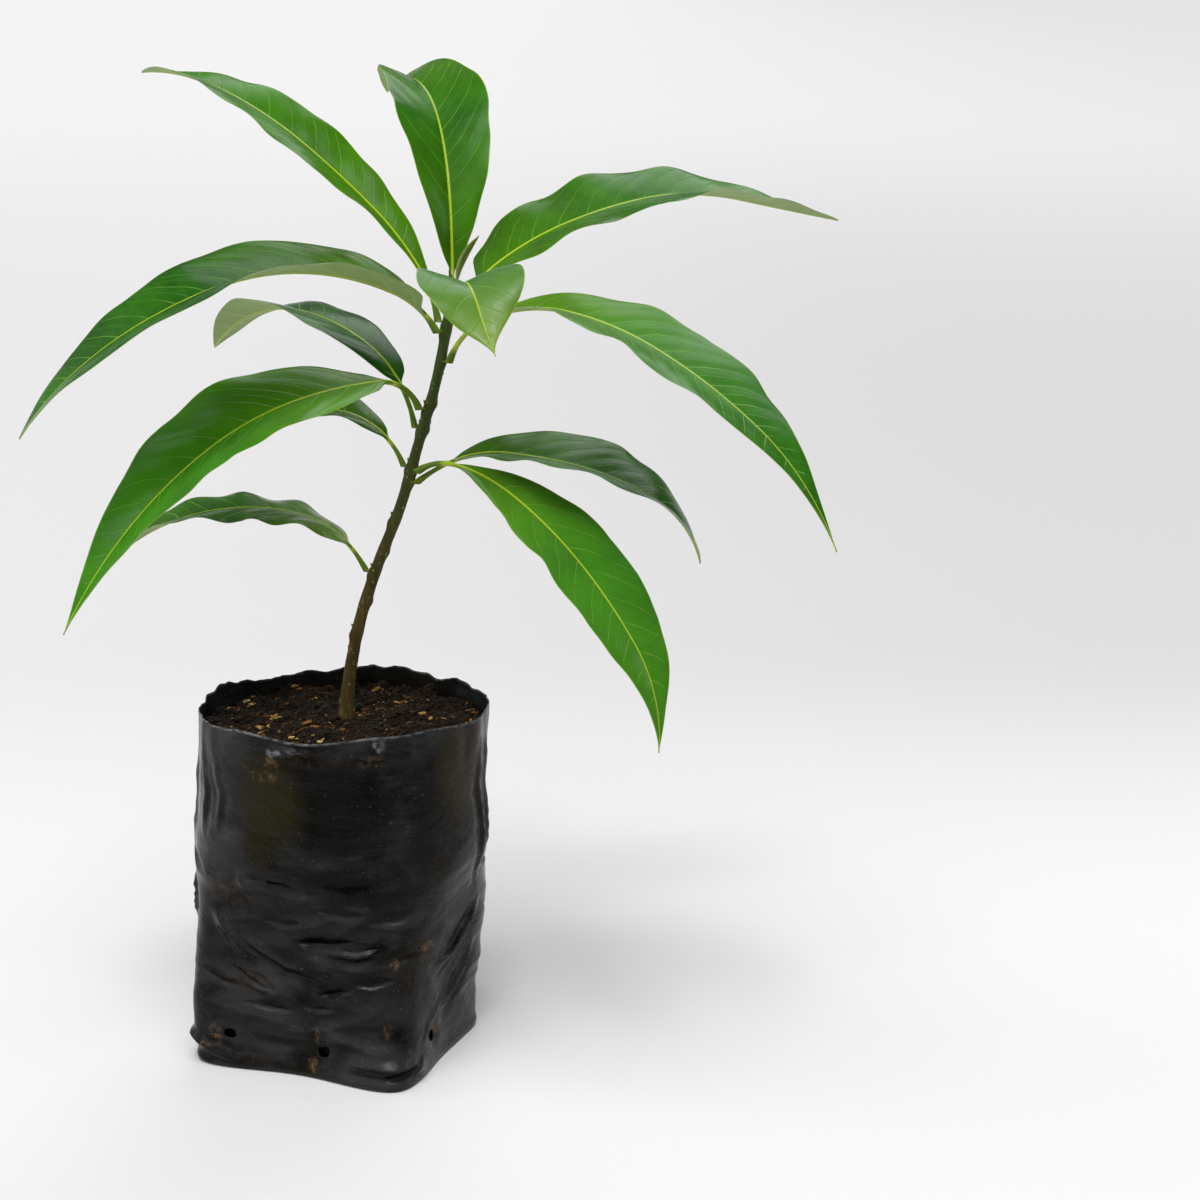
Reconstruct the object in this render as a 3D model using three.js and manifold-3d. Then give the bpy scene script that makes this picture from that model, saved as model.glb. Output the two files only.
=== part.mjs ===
// A young abiu tree in a black nursery bag: one thin leaning stem, twelve open leaves and a new one.
// Millimetres, +Z up. The origin is the centre of the bag's flat underside, and -Y is the front.

import * as THREE from "three";
import { mergeVertices } from "three/addons/utils/BufferGeometryUtils.js";
import Module from "manifold-3d";

// Driving dimensions of the bag, a 6 inch nursery bag filled with potting mix
const BAG_RADIUS = 49;
const BAG_HEIGHT = 122;
const BAG_WALL = 1.2;
const BAG_CORNER_TURN = 22;
const BAG_SQUARE_HEIGHT = 80;
const BAG_FOOT_ROUNDING = 2;
const GAP = 0.3;

// How square the bag's outline is at its foot, and how round at its top: 2 is a circle
const SQUARE_POWER = 8;
const ROUND_POWER = 2;

// Sections of the bag: points around it, and the heights between its foot and its rim
const BAG_SIDES = 48;
const BAG_LEVELS = [10, 20, 30, 42, 56, 70, 86, 104];

// The rim's edge, cut by hand: height of each wave, its number around the rim and its shift
const RIM_WAVES = [
  { height: 0.7, count: 5, shift: 0.6 },
  { height: 0.5, count: 9, shift: 2 },
];

// Drain holes, punched through both layers of the flat bag, so that each has one opposite it:
// the way its side faces in degrees, its place along that side and its height
const DRAIN_RADIUS = 2.7;
const DRAIN_SIDES = 10;
const DRAIN_CUT_DEPTH = 16;
const DRAIN_CUT_INSET = 10;
const DRAINS = [
  { facing: 247, offset: -24, height: 13 },
  { facing: 247, offset: 10, height: 10 },
  { facing: 337, offset: -12, height: 11 },
];

// How far each bottom corner of the bag stands out past its round top, and the height where that ends
const CORNER_SHARPNESS = 8;
const BAG_CORNERS = [
  { turn: 0, reach: -2, height: 35 },
  { turn: 90, reach: 2, height: 50 },
  { turn: 180, reach: 6, height: 140 },
  { turn: 270, reach: 5, height: 45 },
];

// Driving dimensions of the potting mix: a low mound round the stem, with a flat middle
const SOIL_HEIGHT = 117;
const SOIL_MOUND = 1.2;
const SOIL_MOUND_RADIUS = 40;
const SOIL_FLAT_RADIUS = 8;
const SOIL_FLAT_EDGE = 10;
const SOIL_RING_SHARES = [1, 0.86, 0.72, 0.58, 0.44, 0.3, 0.14];

// Lumps of the potting mix: height of each wave, its turn per millimetre along X and Y, and its shift
const SOIL_WAVES = [
  { height: 0.55, alongX: 0.21, alongY: 0.26, shift: 1.5 },
  { height: 0.55, alongX: 0.21, alongY: -0.26, shift: -0.5 },
  { height: 0.66, alongX: 0.13, alongY: -0.37, shift: 0 },
];

// Driving dimensions of the stem, with its lean in degrees at even steps from foot to tip
const STEM_FOOT_X = 0.7;
const STEM_TOP = 264;
const STEM_FOOT_RADIUS = 2.15;
const STEM_TOP_RADIUS = 1.7;
const STEM_TIP_RADIUS = 0.9;
const STEM_TIP_LENGTH = 4;
const ROOT_FLARE = 0.9;
const ROOT_FLARE_HEIGHT = 7;
const ROOT_COUNT = 3;
const ROOT_RIDGE = 0.25;
const STEM_LEAN = [4, 10.5, 18, 23, 15.5, 17.5, 11, 12.5];
const STEM_BOW = 1.5;
const STEM_SIDES = 14;
const STEM_STEP = 2.5;
const LEAN_STEPS = 60;

// Swellings of the stem: the joint under each leaf, and the scars of shed leaves
const JOINT_SWELL = 0.12;
const JOINT_REACH = 2.2;
const SHELF_SWELL = 0.55;
const SHELF_REACH = 1.6;
const SHELF_DROP = 1;
const SHELF_FOCUS = 3;
const SCARS = [
  { foot: 147, heading: 200 },
  { foot: 158, heading: 20 },
  { foot: 175, heading: 350 },
  { foot: 186, heading: 190 },
  { foot: 217, heading: 10 },
  { foot: 226, heading: 355 },
];

// Leaf sections
const LEAF_STEPS = 96;
const RING_STEP = 4;
const STALK_RADIUS = 0.85;
const STALK_FOOT_RADIUS = 1.25;
const STALK_FOOT_LENGTH = 4;
const STALK_FULL_LEAF = 140;
const STALK_MOST = 1.05;
const BLADE_START = 0.06;
const BLADE_THICKNESS_SHARE = 0.011;
const BLADE_THICKNESS_LEAST = 1;
const TIP_HALF_WIDTH = 0.8;
const CUP = 0.12;
const SIDE_WAVE_SHIFT = 1.9;
const ACROSS_STEPS = [-1, -0.5, 0, 0.5, 1];

// How far round the stalk, in degrees from its top, the blade's margins run out into it
const MARGIN_SPREAD = 80;

// Points round a stalk's foot that are held clear of the stem, and how often the foot is moved to do so
const FOOT_POINTS = 24;
const FOOT_MOVES = 6;

// Colours and roughness
const FINISHES = {
  bag: { color: 0x17181a, roughness: 0.35 },
  soil: { color: 0x2a1c12, roughness: 0.95 },
  stem: { color: 0x4a4524, roughness: 0.75 },
  leaf: { color: 0x2f7d32, roughness: 0.4 },
  youngLeaf: { color: 0x5d6f1e, roughness: 0.4 },
};

// The leaves. foot: height where the stalk leaves the stem. belly and taper: shape of the outline.
// pitch: degrees above level at PITCH_PLACES. heading, roll and fold: degrees at foot, middle and tip,
// with heading 0 towards +X and 90 towards +Y. wave: height, number and shift of the margin's waves.
const PITCH_PLACES = [0, 0.12, 0.3, 0.5, 0.75, 1];
const TURN_PLACES = [0, 0.5, 1];
const LEAVES = {
  leaf_low_left: {
    foot: 168, stalk: 9, length: 98, width: 30.8, belly: 0.68, taper: 0.8,
    pitch: [62, 47, 15, -1, -20, -43],
    heading: [165, 181, 174], roll: [-9, 7, 10], fold: [3, 6, 38],
    wave: { height: 1, count: 5, shift: -0.6 },
  },
  leaf_low_right: {
    foot: 199, stalk: 12, length: 116, width: 42, belly: 1.01, taper: 0.95,
    pitch: [39, 25, -2, -8, -28, -78],
    heading: [345, 334, 367], roll: [-22, -3, 1], fold: [17, 21, 13],
    wave: { height: 0.5, count: 5, shift: 2.4 },
  },
  leaf_low_front: {
    foot: 203, stalk: 13, length: 147, width: 36.5, belly: 0.99, taper: 1.44,
    pitch: [32, -6, -27, -39, -51, -95],
    heading: [320, 322, 317], roll: [-28, -3, -17], fold: [17, 15, 12],
    wave: { height: 0.6, count: 5, shift: -0.1 },
  },
  leaf_mid_back_left: {
    foot: 204, stalk: 9, length: 98, width: 26, belly: 0.9, taper: 1,
    pitch: [66, 40, 8, -12, -30, -42],
    heading: [150, 155, 165], roll: [8, 10, 10], fold: [16, 16, 12],
    wave: { height: 1, count: 5, shift: 0 },
  },
  leaf_mid_left: {
    foot: 217, stalk: 14, length: 119, width: 29.5, belly: 0.88, taper: 0.8,
    pitch: [78, 55, 27, 12, -20, -39],
    heading: [140, 147, 125], roll: [7, -2, -25], fold: [5, 13, 33],
    wave: { height: 0.5, count: 4, shift: 0.4 },
  },
  leaf_mid_front_left: {
    foot: 224, stalk: 13, length: 158, width: 44, belly: 0.69, taper: 1.28,
    pitch: [72, -3, -15, -33, -46, -58],
    heading: [205, 205, 221], roll: [14, 19, 18], fold: [3, 26, 27],
    wave: { height: 0.7, count: 5, shift: 2.6 },
  },
  leaf_high_right: {
    foot: 240, stalk: 6, length: 186, width: 37.2, belly: 1.02, taper: 1.6,
    pitch: [67, 23, -6, -22, -33, -62],
    heading: [325, 322, 315], roll: [-15, -4, -3], fold: [30, 19, 17],
    wave: { height: 0.8, count: 5, shift: -0.7 },
  },
  leaf_high_left: {
    foot: 250, stalk: 7, length: 169, width: 44, belly: 0.68, taper: 0.8,
    pitch: [62, 25, 7, -13, -35, -55],
    heading: [205, 219, 162], roll: [13, 2, 29], fold: [30, 23, 15],
    wave: { height: 0.5, count: 5, shift: 3.8 },
  },
  leaf_top_left: {
    foot: 253, stalk: 8, length: 151, width: 27.9, belly: 1.15, taper: 0.8,
    pitch: [80, 57, 42, 38, 20, -6],
    heading: [155, 163, 137], roll: [15, 19, -15], fold: [37, 23, 17],
    wave: { height: 0.5, count: 6, shift: 2.6 },
  },
  leaf_top_right: {
    foot: 259, stalk: 7, length: 148, width: 41.7, belly: 0.68, taper: 0.8,
    pitch: [55, 34, 20, 10, -13, -12],
    heading: [25, 22, 14], roll: [-9, -14, 6], fold: [18, 20, 30],
    wave: { height: 1.1, count: 5, shift: -0.1 },
  },
  leaf_top_front: {
    foot: 260, stalk: 6, length: 72, width: 36.4, belly: 1.13, taper: 1.6,
    pitch: [32, 20, 16, 4, -47, -50],
    heading: [278, 282, 303], roll: [11, -3, -22], fold: [13, 26, 3],
    wave: { height: 0.7, count: 3, shift: 0.7 },
  },
  leaf_top_back: {
    foot: 261, stalk: 6, length: 123, width: 38.5, belly: 1.13, taper: 0.82,
    pitch: [85, 85, 61, 41, 12, -30],
    heading: [95, 105, 119], roll: [-20, 0, 7], fold: [34, 33, 30],
    wave: { height: 0.9, count: 4, shift: -0.2 },
  },
  leaf_young: {
    foot: STEM_TOP, stalk: 2, length: 19, width: 6, belly: 1, taper: 1, atTip: true,
    pitch: [72, 70, 66, 62, 60, 60],
    heading: [30, 12, 4], roll: [0, 0, 0], fold: [50, 50, 50],
    wave: { height: 0, count: 1, shift: 0 },
  },
};

// Small helpers

function radians(degrees) {
  return (degrees * Math.PI) / 180;
}

function smooth(share) {
  const x = Math.min(Math.max(share, 0), 1);
  return x * x * (3 - 2 * x);
}

function mix(a, b, share) {
  return a + (b - a) * share;
}

function bump(distance, reach) {
  return Math.exp(-((distance / reach) ** 2));
}

// Value at a place along a list of values, straight between the places given
function along(values, places, place) {
  let last = 1;
  while (last < places.length - 1 && place > places[last]) {
    last += 1;
  }
  const share = (place - places[last - 1]) / (places[last] - places[last - 1]);
  return mix(values[last - 1], values[last], Math.min(Math.max(share, 0), 1));
}

// Closed solid through rings of points that run the same way round, with a fan over each end.
// slant picks which way the four-sided faces between two rings are split.
function loft(rings, slant = 1) {
  const count = rings[0].length;
  const points = rings.flat();
  const triangles = [];
  for (let ring = 0; ring < rings.length - 1; ring += 1) {
    for (let k = 0; k < count; k += 1) {
      const a = ring * count + k;
      const b = ring * count + ((k + 1) % count);
      if (slant > 0) {
        triangles.push(a, b, b + count, a, b + count, a + count);
      } else {
        triangles.push(a, b, a + count, b, b + count, a + count);
      }
    }
  }
  const ends = [rings[0], rings[rings.length - 1]];
  for (const ring of ends) {
    const centre = new THREE.Vector3();
    ring.forEach((point) => centre.add(point));
    points.push(centre.divideScalar(count));
  }
  const lastRing = (rings.length - 1) * count;
  for (let k = 0; k < count; k += 1) {
    const next = (k + 1) % count;
    triangles.push(points.length - 2, next, k);
    triangles.push(points.length - 1, lastRing + k, lastRing + next);
  }
  const geometry = new THREE.BufferGeometry().setFromPoints(points);
  geometry.setIndex(triangles);
  geometry.computeVertexNormals();
  return geometry;
}

// Boolean cut

const wasm = await Module();
wasm.setup();

function solidOf(geometry) {
  const bare = geometry.clone();
  bare.deleteAttribute("normal");
  bare.deleteAttribute("uv");
  const merged = mergeVertices(bare, 1e-4);
  return new wasm.Manifold(new wasm.Mesh({
    numProp: 3,
    vertProperties: new Float32Array(merged.attributes.position.array),
    triVerts: new Uint32Array(merged.index.array),
  }));
}

function geometryOf(solid) {
  const mesh = solid.getMesh();
  const geometry = new THREE.BufferGeometry();
  geometry.setAttribute("position", new THREE.BufferAttribute(mesh.vertProperties, 3));
  geometry.setIndex(new THREE.BufferAttribute(mesh.triVerts, 1));
  geometry.computeVertexNormals();
  return geometry;
}

// The bag: a rounded square at its foot that turns round towards the rim, with corners that stand out

function bagRadius(angle, z) {
  const power = mix(SQUARE_POWER, ROUND_POWER, smooth(z / BAG_SQUARE_HEIGHT));
  const turned = angle - radians(BAG_CORNER_TURN);
  let reach = BAG_RADIUS;
  for (const corner of BAG_CORNERS) {
    const facing = Math.max(Math.cos(turned - radians(corner.turn)), 0);
    reach += corner.reach * facing ** CORNER_SHARPNESS * (1 - smooth(z / corner.height));
  }
  const c = Math.abs(Math.cos(turned + Math.PI / 4));
  const s = Math.abs(Math.sin(turned + Math.PI / 4));
  const corner = Math.SQRT1_2 * 2 ** (1 / power);
  return (reach * corner) / (c ** power + s ** power) ** (1 / power);
}

function rimHeight(angle) {
  let height = BAG_HEIGHT;
  for (const wave of RIM_WAVES) {
    height += wave.height * Math.sin(wave.count * angle + wave.shift);
  }
  return height;
}

function bagRing(z, inset, rim = false) {
  const ring = [];
  for (let k = 0; k < BAG_SIDES; k += 1) {
    const angle = (2 * Math.PI * k) / BAG_SIDES;
    const radius = bagRadius(angle, z) - inset;
    const height = rim ? rimHeight(angle) : z;
    ring.push(new THREE.Vector3(radius * Math.cos(angle), radius * Math.sin(angle), height));
  }
  return ring;
}

function bagGeometry() {
  const rings = [bagRing(0, BAG_FOOT_ROUNDING), bagRing(BAG_FOOT_ROUNDING, 0)];
  BAG_LEVELS.forEach((z) => rings.push(bagRing(z, 0)));
  rings.push(bagRing(BAG_HEIGHT, 0, true));
  rings.push(bagRing(BAG_HEIGHT, BAG_WALL, true));
  BAG_LEVELS.toReversed().forEach((z) => rings.push(bagRing(z, BAG_WALL)));
  rings.push(bagRing(BAG_WALL, BAG_WALL + BAG_FOOT_ROUNDING));
  return loft(rings);
}

function drainHoles() {
  const holes = [];
  for (const drain of DRAINS) {
    for (const side of [1, -1]) {
      const cutter = new THREE.CylinderGeometry(DRAIN_RADIUS, DRAIN_RADIUS, DRAIN_CUT_DEPTH, DRAIN_SIDES);
      cutter.rotateZ(Math.PI / 2);
      cutter.translate(side * (BAG_RADIUS - DRAIN_CUT_INSET), drain.offset, drain.height);
      cutter.rotateZ(radians(drain.facing));
      holes.push(cutter);
    }
  }
  return holes;
}

function drainedBagGeometry() {
  let bag = solidOf(bagGeometry());
  for (const hole of drainHoles()) {
    bag = bag.subtract(solidOf(hole));
  }
  return geometryOf(bag);
}

// The potting mix fills the bag to just under its rim, lumpy on top but flat round the stem

function soilTop(x, y) {
  const fromStem = Math.hypot(x - STEM_FOOT_X, y);
  const lumpiness = smooth((fromStem - SOIL_FLAT_RADIUS) / SOIL_FLAT_EDGE);
  let height = SOIL_HEIGHT - SOIL_MOUND * smooth(fromStem / SOIL_MOUND_RADIUS);
  for (const wave of SOIL_WAVES) {
    height += wave.height * Math.sin(x * wave.alongX + y * wave.alongY + wave.shift) * lumpiness;
  }
  return height;
}

function soilGeometry() {
  const inset = BAG_WALL + GAP;
  const rings = [bagRing(inset, inset + BAG_FOOT_ROUNDING)];
  BAG_LEVELS.forEach((z) => rings.push(bagRing(z, inset)));
  for (const share of SOIL_RING_SHARES) {
    rings.push(bagRing(SOIL_HEIGHT, inset).map((point) => {
      const x = mix(STEM_FOOT_X, point.x, share);
      const y = point.y * share;
      return new THREE.Vector3(x, y, soilTop(x, y));
    }));
  }
  return loft(rings, -1);
}

// The stem: a leaning limb that tapers from a flared foot to its tip, swollen at its joints

const STEM_FOOT = soilTop(STEM_FOOT_X, 0) + GAP;

function stemCentre(z) {
  const top = Math.max(z, STEM_FOOT);
  const places = STEM_LEAN.map((value, index) => index / (STEM_LEAN.length - 1));
  let x = STEM_FOOT_X;
  for (let step = 0; step < LEAN_STEPS; step += 1) {
    const height = mix(STEM_FOOT, top, (step + 0.5) / LEAN_STEPS);
    const share = (height - STEM_FOOT) / (STEM_TOP - STEM_FOOT);
    x += (Math.tan(radians(along(STEM_LEAN, places, share))) * (top - STEM_FOOT)) / LEAN_STEPS;
  }
  const bow = STEM_BOW * Math.sin((Math.PI * (top - STEM_FOOT)) / (STEM_TOP - STEM_FOOT));
  return new THREE.Vector3(x, bow, z);
}

function stemRadius(z, angle) {
  const share = (z - STEM_FOOT) / (STEM_TOP - STEM_FOOT);
  const flare = ROOT_FLARE * Math.exp(-(z - STEM_FOOT) / ROOT_FLARE_HEIGHT);
  let radius = mix(STEM_FOOT_RADIUS, STEM_TOP_RADIUS, share);
  radius += flare * (1 + ROOT_RIDGE * Math.cos(ROOT_COUNT * angle));
  const joints = [...Object.values(LEAVES).filter((leaf) => !leaf.atTip), ...SCARS];
  for (const joint of joints) {
    const heading = radians(joint.heading[0] ?? joint.heading);
    const facing = Math.max(Math.cos(angle - heading), 0) ** SHELF_FOCUS;
    const distance = z - joint.foot;
    radius += JOINT_SWELL * bump(distance, JOINT_REACH);
    radius += SHELF_SWELL * facing * bump(distance + SHELF_DROP, SHELF_REACH);
  }
  const tipShare = smooth((z - (STEM_TOP - STEM_TIP_LENGTH)) / STEM_TIP_LENGTH);
  return mix(radius, STEM_TIP_RADIUS, tipShare);
}

function stemRing(z) {
  const centre = stemCentre(z);
  const ring = [];
  for (let k = 0; k < STEM_SIDES; k += 1) {
    const angle = (2 * Math.PI * k) / STEM_SIDES;
    const radius = stemRadius(z, angle);
    ring.push(new THREE.Vector3(
      centre.x + radius * Math.cos(angle),
      centre.y + radius * Math.sin(angle),
      z,
    ));
  }
  return ring;
}

function stemGeometry() {
  const count = Math.round((STEM_TOP - STEM_FOOT) / STEM_STEP);
  const rings = [];
  for (let step = 0; step <= count; step += 1) {
    rings.push(stemRing(mix(STEM_FOOT, STEM_TOP, step / count)));
  }
  return loft(rings);
}

// A leaf: a round stalk that widens into a blade folded along its midrib, with wavy margins

// Directions at a place along the leaf: forward along the midrib, right across the blade, up out of it
function leafFrame(leaf, place) {
  const pitch = radians(along(leaf.pitch, PITCH_PLACES, place));
  const heading = radians(along(leaf.heading, TURN_PLACES, place));
  const roll = radians(along(leaf.roll, TURN_PLACES, place));
  const forward = new THREE.Vector3(
    Math.cos(pitch) * Math.cos(heading),
    Math.cos(pitch) * Math.sin(heading),
    Math.sin(pitch),
  );
  const level = new THREE.Vector3(Math.sin(heading), -Math.cos(heading), 0);
  const upright = level.clone().cross(forward);
  const right = level.clone().multiplyScalar(Math.cos(roll)).addScaledVector(upright, Math.sin(roll));
  const up = upright.clone().multiplyScalar(Math.cos(roll)).addScaledVector(level, -Math.sin(roll));
  return { forward, right, up };
}

function stalkRadius(leaf, distance) {
  const size = Math.min(Math.sqrt(leaf.length / STALK_FULL_LEAF), STALK_MOST);
  return size * mix(STALK_RADIUS, STALK_FOOT_RADIUS, bump(distance, STALK_FOOT_LENGTH));
}

// Where the stalk starts: beside the stem, with its foot ring just clear of it, or just over its tip
function leafFoot(leaf) {
  const { right, up } = leafFrame(leaf, 0);
  const radius = stalkRadius(leaf, 0);
  if (leaf.atTip) {
    const lift = GAP + radius * (Math.abs(right.z) + up.z);
    return stemCentre(STEM_TOP).add(new THREE.Vector3(0, 0, lift));
  }
  const heading = radians(leaf.heading[0]);
  const outward = new THREE.Vector3(Math.cos(heading), Math.sin(heading), 0);
  const centre = stemCentre(leaf.foot);
  let reach = stemRadius(leaf.foot, heading) + GAP;
  for (let move = 0; move < FOOT_MOVES; move += 1) {
    let clearance = Infinity;
    for (let k = 0; k < FOOT_POINTS; k += 1) {
      const angle = (2 * Math.PI * k) / FOOT_POINTS;
      const point = centre.clone().addScaledVector(outward, reach);
      point.addScaledVector(right, radius * Math.cos(angle)).addScaledVector(up, radius * Math.sin(angle));
      const axis = stemCentre(point.z);
      const around = Math.atan2(point.y - axis.y, point.x - axis.x);
      const distance = Math.hypot(point.x - axis.x, point.y - axis.y);
      clearance = Math.min(clearance, distance - stemRadius(point.z, around));
    }
    reach += GAP - clearance;
  }
  return centre.addScaledVector(outward, reach);
}

function midrib(leaf) {
  const points = [leafFoot(leaf)];
  const step = leaf.length / LEAF_STEPS;
  for (let index = 0; index < LEAF_STEPS; index += 1) {
    const { forward } = leafFrame(leaf, (index + 0.5) / LEAF_STEPS);
    points.push(points[index].clone().addScaledVector(forward, step));
  }
  return points;
}

function halfWidth(leaf, bladeShare) {
  const share = Math.min(Math.max(bladeShare, 0), 1);
  const half = (leaf.width / 2) * Math.max(Math.sin(Math.PI * share ** leaf.belly), 0) ** leaf.taper;
  return Math.max(half, TIP_HALF_WIDTH);
}

// Height of the blade above its midrib, across from -1 at the left margin to 1 at the right one
function bladeRise(leaf, bladeShare, across, fold) {
  const half = halfWidth(leaf, bladeShare);
  const side = across > 0 ? 0 : SIDE_WAVE_SHIFT;
  const turn = 2 * Math.PI * leaf.wave.count * Math.min(Math.max(bladeShare, 0), 1);
  const fullness = Math.min(half / (leaf.width / 2), 1);
  const wave = leaf.wave.height * Math.sin(turn + leaf.wave.shift + side) * across ** 2 * fullness;
  return Math.abs(across) * half * Math.sin(fold) - CUP * half * across ** 2 + wave;
}

function leafRing(leaf, place, middle) {
  const { right, up } = leafFrame(leaf, place);
  const distance = place * leaf.length;
  const bladeShare = (distance - leaf.stalk) / (leaf.length - leaf.stalk);
  const blade = smooth(bladeShare / BLADE_START);
  const fold = radians(along(leaf.fold, TURN_PLACES, place));
  const half = halfWidth(leaf, bladeShare);
  const thickness = Math.max(leaf.length * BLADE_THICKNESS_SHARE, BLADE_THICKNESS_LEAST);
  const round = stalkRadius(leaf, distance);
  const sides = [
    ...ACROSS_STEPS.map((across) => ({ across, face: 1 })),
    ...ACROSS_STEPS.toReversed().map((across) => ({ across, face: -1 })),
  ];
  return sides.map(({ across, face }) => {
    const angle = radians(face * (90 - MARGIN_SPREAD * across));
    const flatAcross = across * half * Math.cos(fold);
    const flatUp = bladeRise(leaf, bladeShare, across, fold) + (face * thickness) / 2;
    return middle.clone()
      .addScaledVector(right, mix(round * Math.cos(angle), flatAcross, blade))
      .addScaledVector(up, mix(round * Math.sin(angle), flatUp, blade));
  });
}

function leafGeometry(leaf) {
  const points = midrib(leaf);
  const rings = [];
  for (let index = 0; index <= LEAF_STEPS; index += RING_STEP) {
    rings.push(leafRing(leaf, index / LEAF_STEPS, points[index]));
  }
  return loft(rings);
}

// Assembly

function part(name, geometry, finish) {
  const material = new THREE.MeshStandardMaterial({ ...finish, metalness: 0 });
  const mesh = new THREE.Mesh(geometry, material);
  mesh.name = name;
  return mesh;
}

const tree = new THREE.Group();
tree.add(part("bag", drainedBagGeometry(), FINISHES.bag));
tree.add(part("soil", soilGeometry(), FINISHES.soil));
tree.add(part("stem", stemGeometry(), FINISHES.stem));
for (const [name, leaf] of Object.entries(LEAVES)) {
  tree.add(part(name, leafGeometry(leaf), leaf.atTip ? FINISHES.youngLeaf : FINISHES.leaf));
}

export default tree;
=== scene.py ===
import math
import random

import bmesh
import bpy
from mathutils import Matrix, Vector, noise


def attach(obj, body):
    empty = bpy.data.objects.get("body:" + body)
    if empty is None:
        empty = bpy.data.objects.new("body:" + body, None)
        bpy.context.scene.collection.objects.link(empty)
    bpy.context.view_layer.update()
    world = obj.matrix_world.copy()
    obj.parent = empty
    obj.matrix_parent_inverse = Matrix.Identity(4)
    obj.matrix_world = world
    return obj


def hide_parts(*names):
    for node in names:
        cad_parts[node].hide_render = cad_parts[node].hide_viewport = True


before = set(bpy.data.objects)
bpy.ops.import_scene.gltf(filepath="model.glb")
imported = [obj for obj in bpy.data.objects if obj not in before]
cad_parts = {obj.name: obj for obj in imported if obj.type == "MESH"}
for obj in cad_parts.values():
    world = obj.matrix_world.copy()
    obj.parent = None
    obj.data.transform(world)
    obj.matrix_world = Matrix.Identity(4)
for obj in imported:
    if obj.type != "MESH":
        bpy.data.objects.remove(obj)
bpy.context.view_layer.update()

# A young abiu tree in a black nursery bag. Lengths are in millimetres until a piece is finished.
MM = 0.001
JOIN = 0.0001

# The bag
BAG_RADIUS = 49
BAG_HEIGHT = 122
BAG_CORNER_TURN = 22
BAG_SQUARE_HEIGHT = 80
BAG_FOOT_ROUNDING = 2
SQUARE_POWER = 8
ROUND_POWER = 2
CORNER_SHARPNESS = 8
BAG_CORNERS = [
    {"turn": 0, "reach": -2, "height": 35},
    {"turn": 90, "reach": 2, "height": 50},
    {"turn": 180, "reach": 6, "height": 140},
    {"turn": 270, "reach": 5, "height": 45},
]
RIM_WAVES = [
    {"height": 0.7, "count": 5, "shift": 0.6},
    {"height": 0.5, "count": 9, "shift": 2},
]
DRAIN_RADIUS = 2.2
DRAIN_SQUASH = 0.82
DRAINS = [
    {"facing": 247, "offset": -24, "height": 13},
    {"facing": 247, "offset": 10, "height": 10},
    {"facing": 337, "offset": -12, "height": 11},
]
BAG_COLUMNS = 284
BAG_BASE_ROWS = 3
BAG_ROUND_ROWS = 3
BAG_ROW_STEPS = [(66, 0.56), (115, 1.3), (122, 0.7)]
FRONT_CROWDING = 0.3
FILM = 0.3
DRAIN_RAGGEDNESS = 0.25
DRAIN_PUCKER = 0.7
DRAIN_PUCKER_REACH = 2.2

# The rim's nicks and tears: height, width, and the share of it that the front has
RIM_NICK = {"rise": 0.6, "width": 2.6, "front": 0.15}
RIM_TEAR = {"rise": 1.7, "width": 8.5, "front": 0.3}

# The film's relief. A stretch is the height where it starts and how much higher it is complete.
RIM_STRETCH = (115, 7)
RIM_WAVE_STRETCH = (0.55 * BAG_HEIGHT, 0.45 * BAG_HEIGHT)
SWELL_RISE = 1.5
SWELL_SIZE = (38, 30)
CALM_SHARE = 0.4
CRUMPLE_STRETCH = (4, 14)
CRUMPLE_FADE = (66, 34)
CRUMPLE_MIDDLE = 0.25
PLEAT_SIZE = (7, 60)
PLEAT_STRETCH = (98, 22)
PLEAT_FRONT = 0.6
PLEAT_BACK = 1.8
FRONT_CORNER = 292
CORNER_BLUNTING = 2.2
CORNER_WIDTH = 7
CORNER_STRETCH = (6, 16)
CORNER_FADE = (50, 30)
FOOT_CALM = 5
DENT_STRENGTH = 1.4
DENT_FACE = 1.5
DENT_LIP = 0.5
FOLD_STRENGTH = 1.2
FOLD_REACHES = 2.5
FOLD_END = 0.3
CREST_POWER = 1.2
VALLEY_DEPTH = 0.35
VALLEY_PLACE = 1.3
VALLEY_WIDTH = 0.6
# How much haze lies on upright film, and how fast slopes that look down lose it: dust with painted shade
DUST_ON_UPRIGHT = 0.6
SLOPE_SHADE = 1.5
FOOT_MUD = 0.06
FOOT_MUD_HEIGHT = 16
MARK_SOFTNESS = 1.6
# Width of the painted highlight along the rim's edge
RIM_HIGHLIGHT_WIDTH = 0.5

# Crumples of the film: width and height of the folds, how far they stand, and their slant
CRUMPLES = [
    {"width": 30, "high": 12, "rise": 1.1, "slant": 0.2},
    {"width": 24, "high": 8, "rise": 0.7, "slant": -0.24},
    {"width": 13, "high": 4.6, "rise": 0.2, "slant": 0.12},
]

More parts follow.
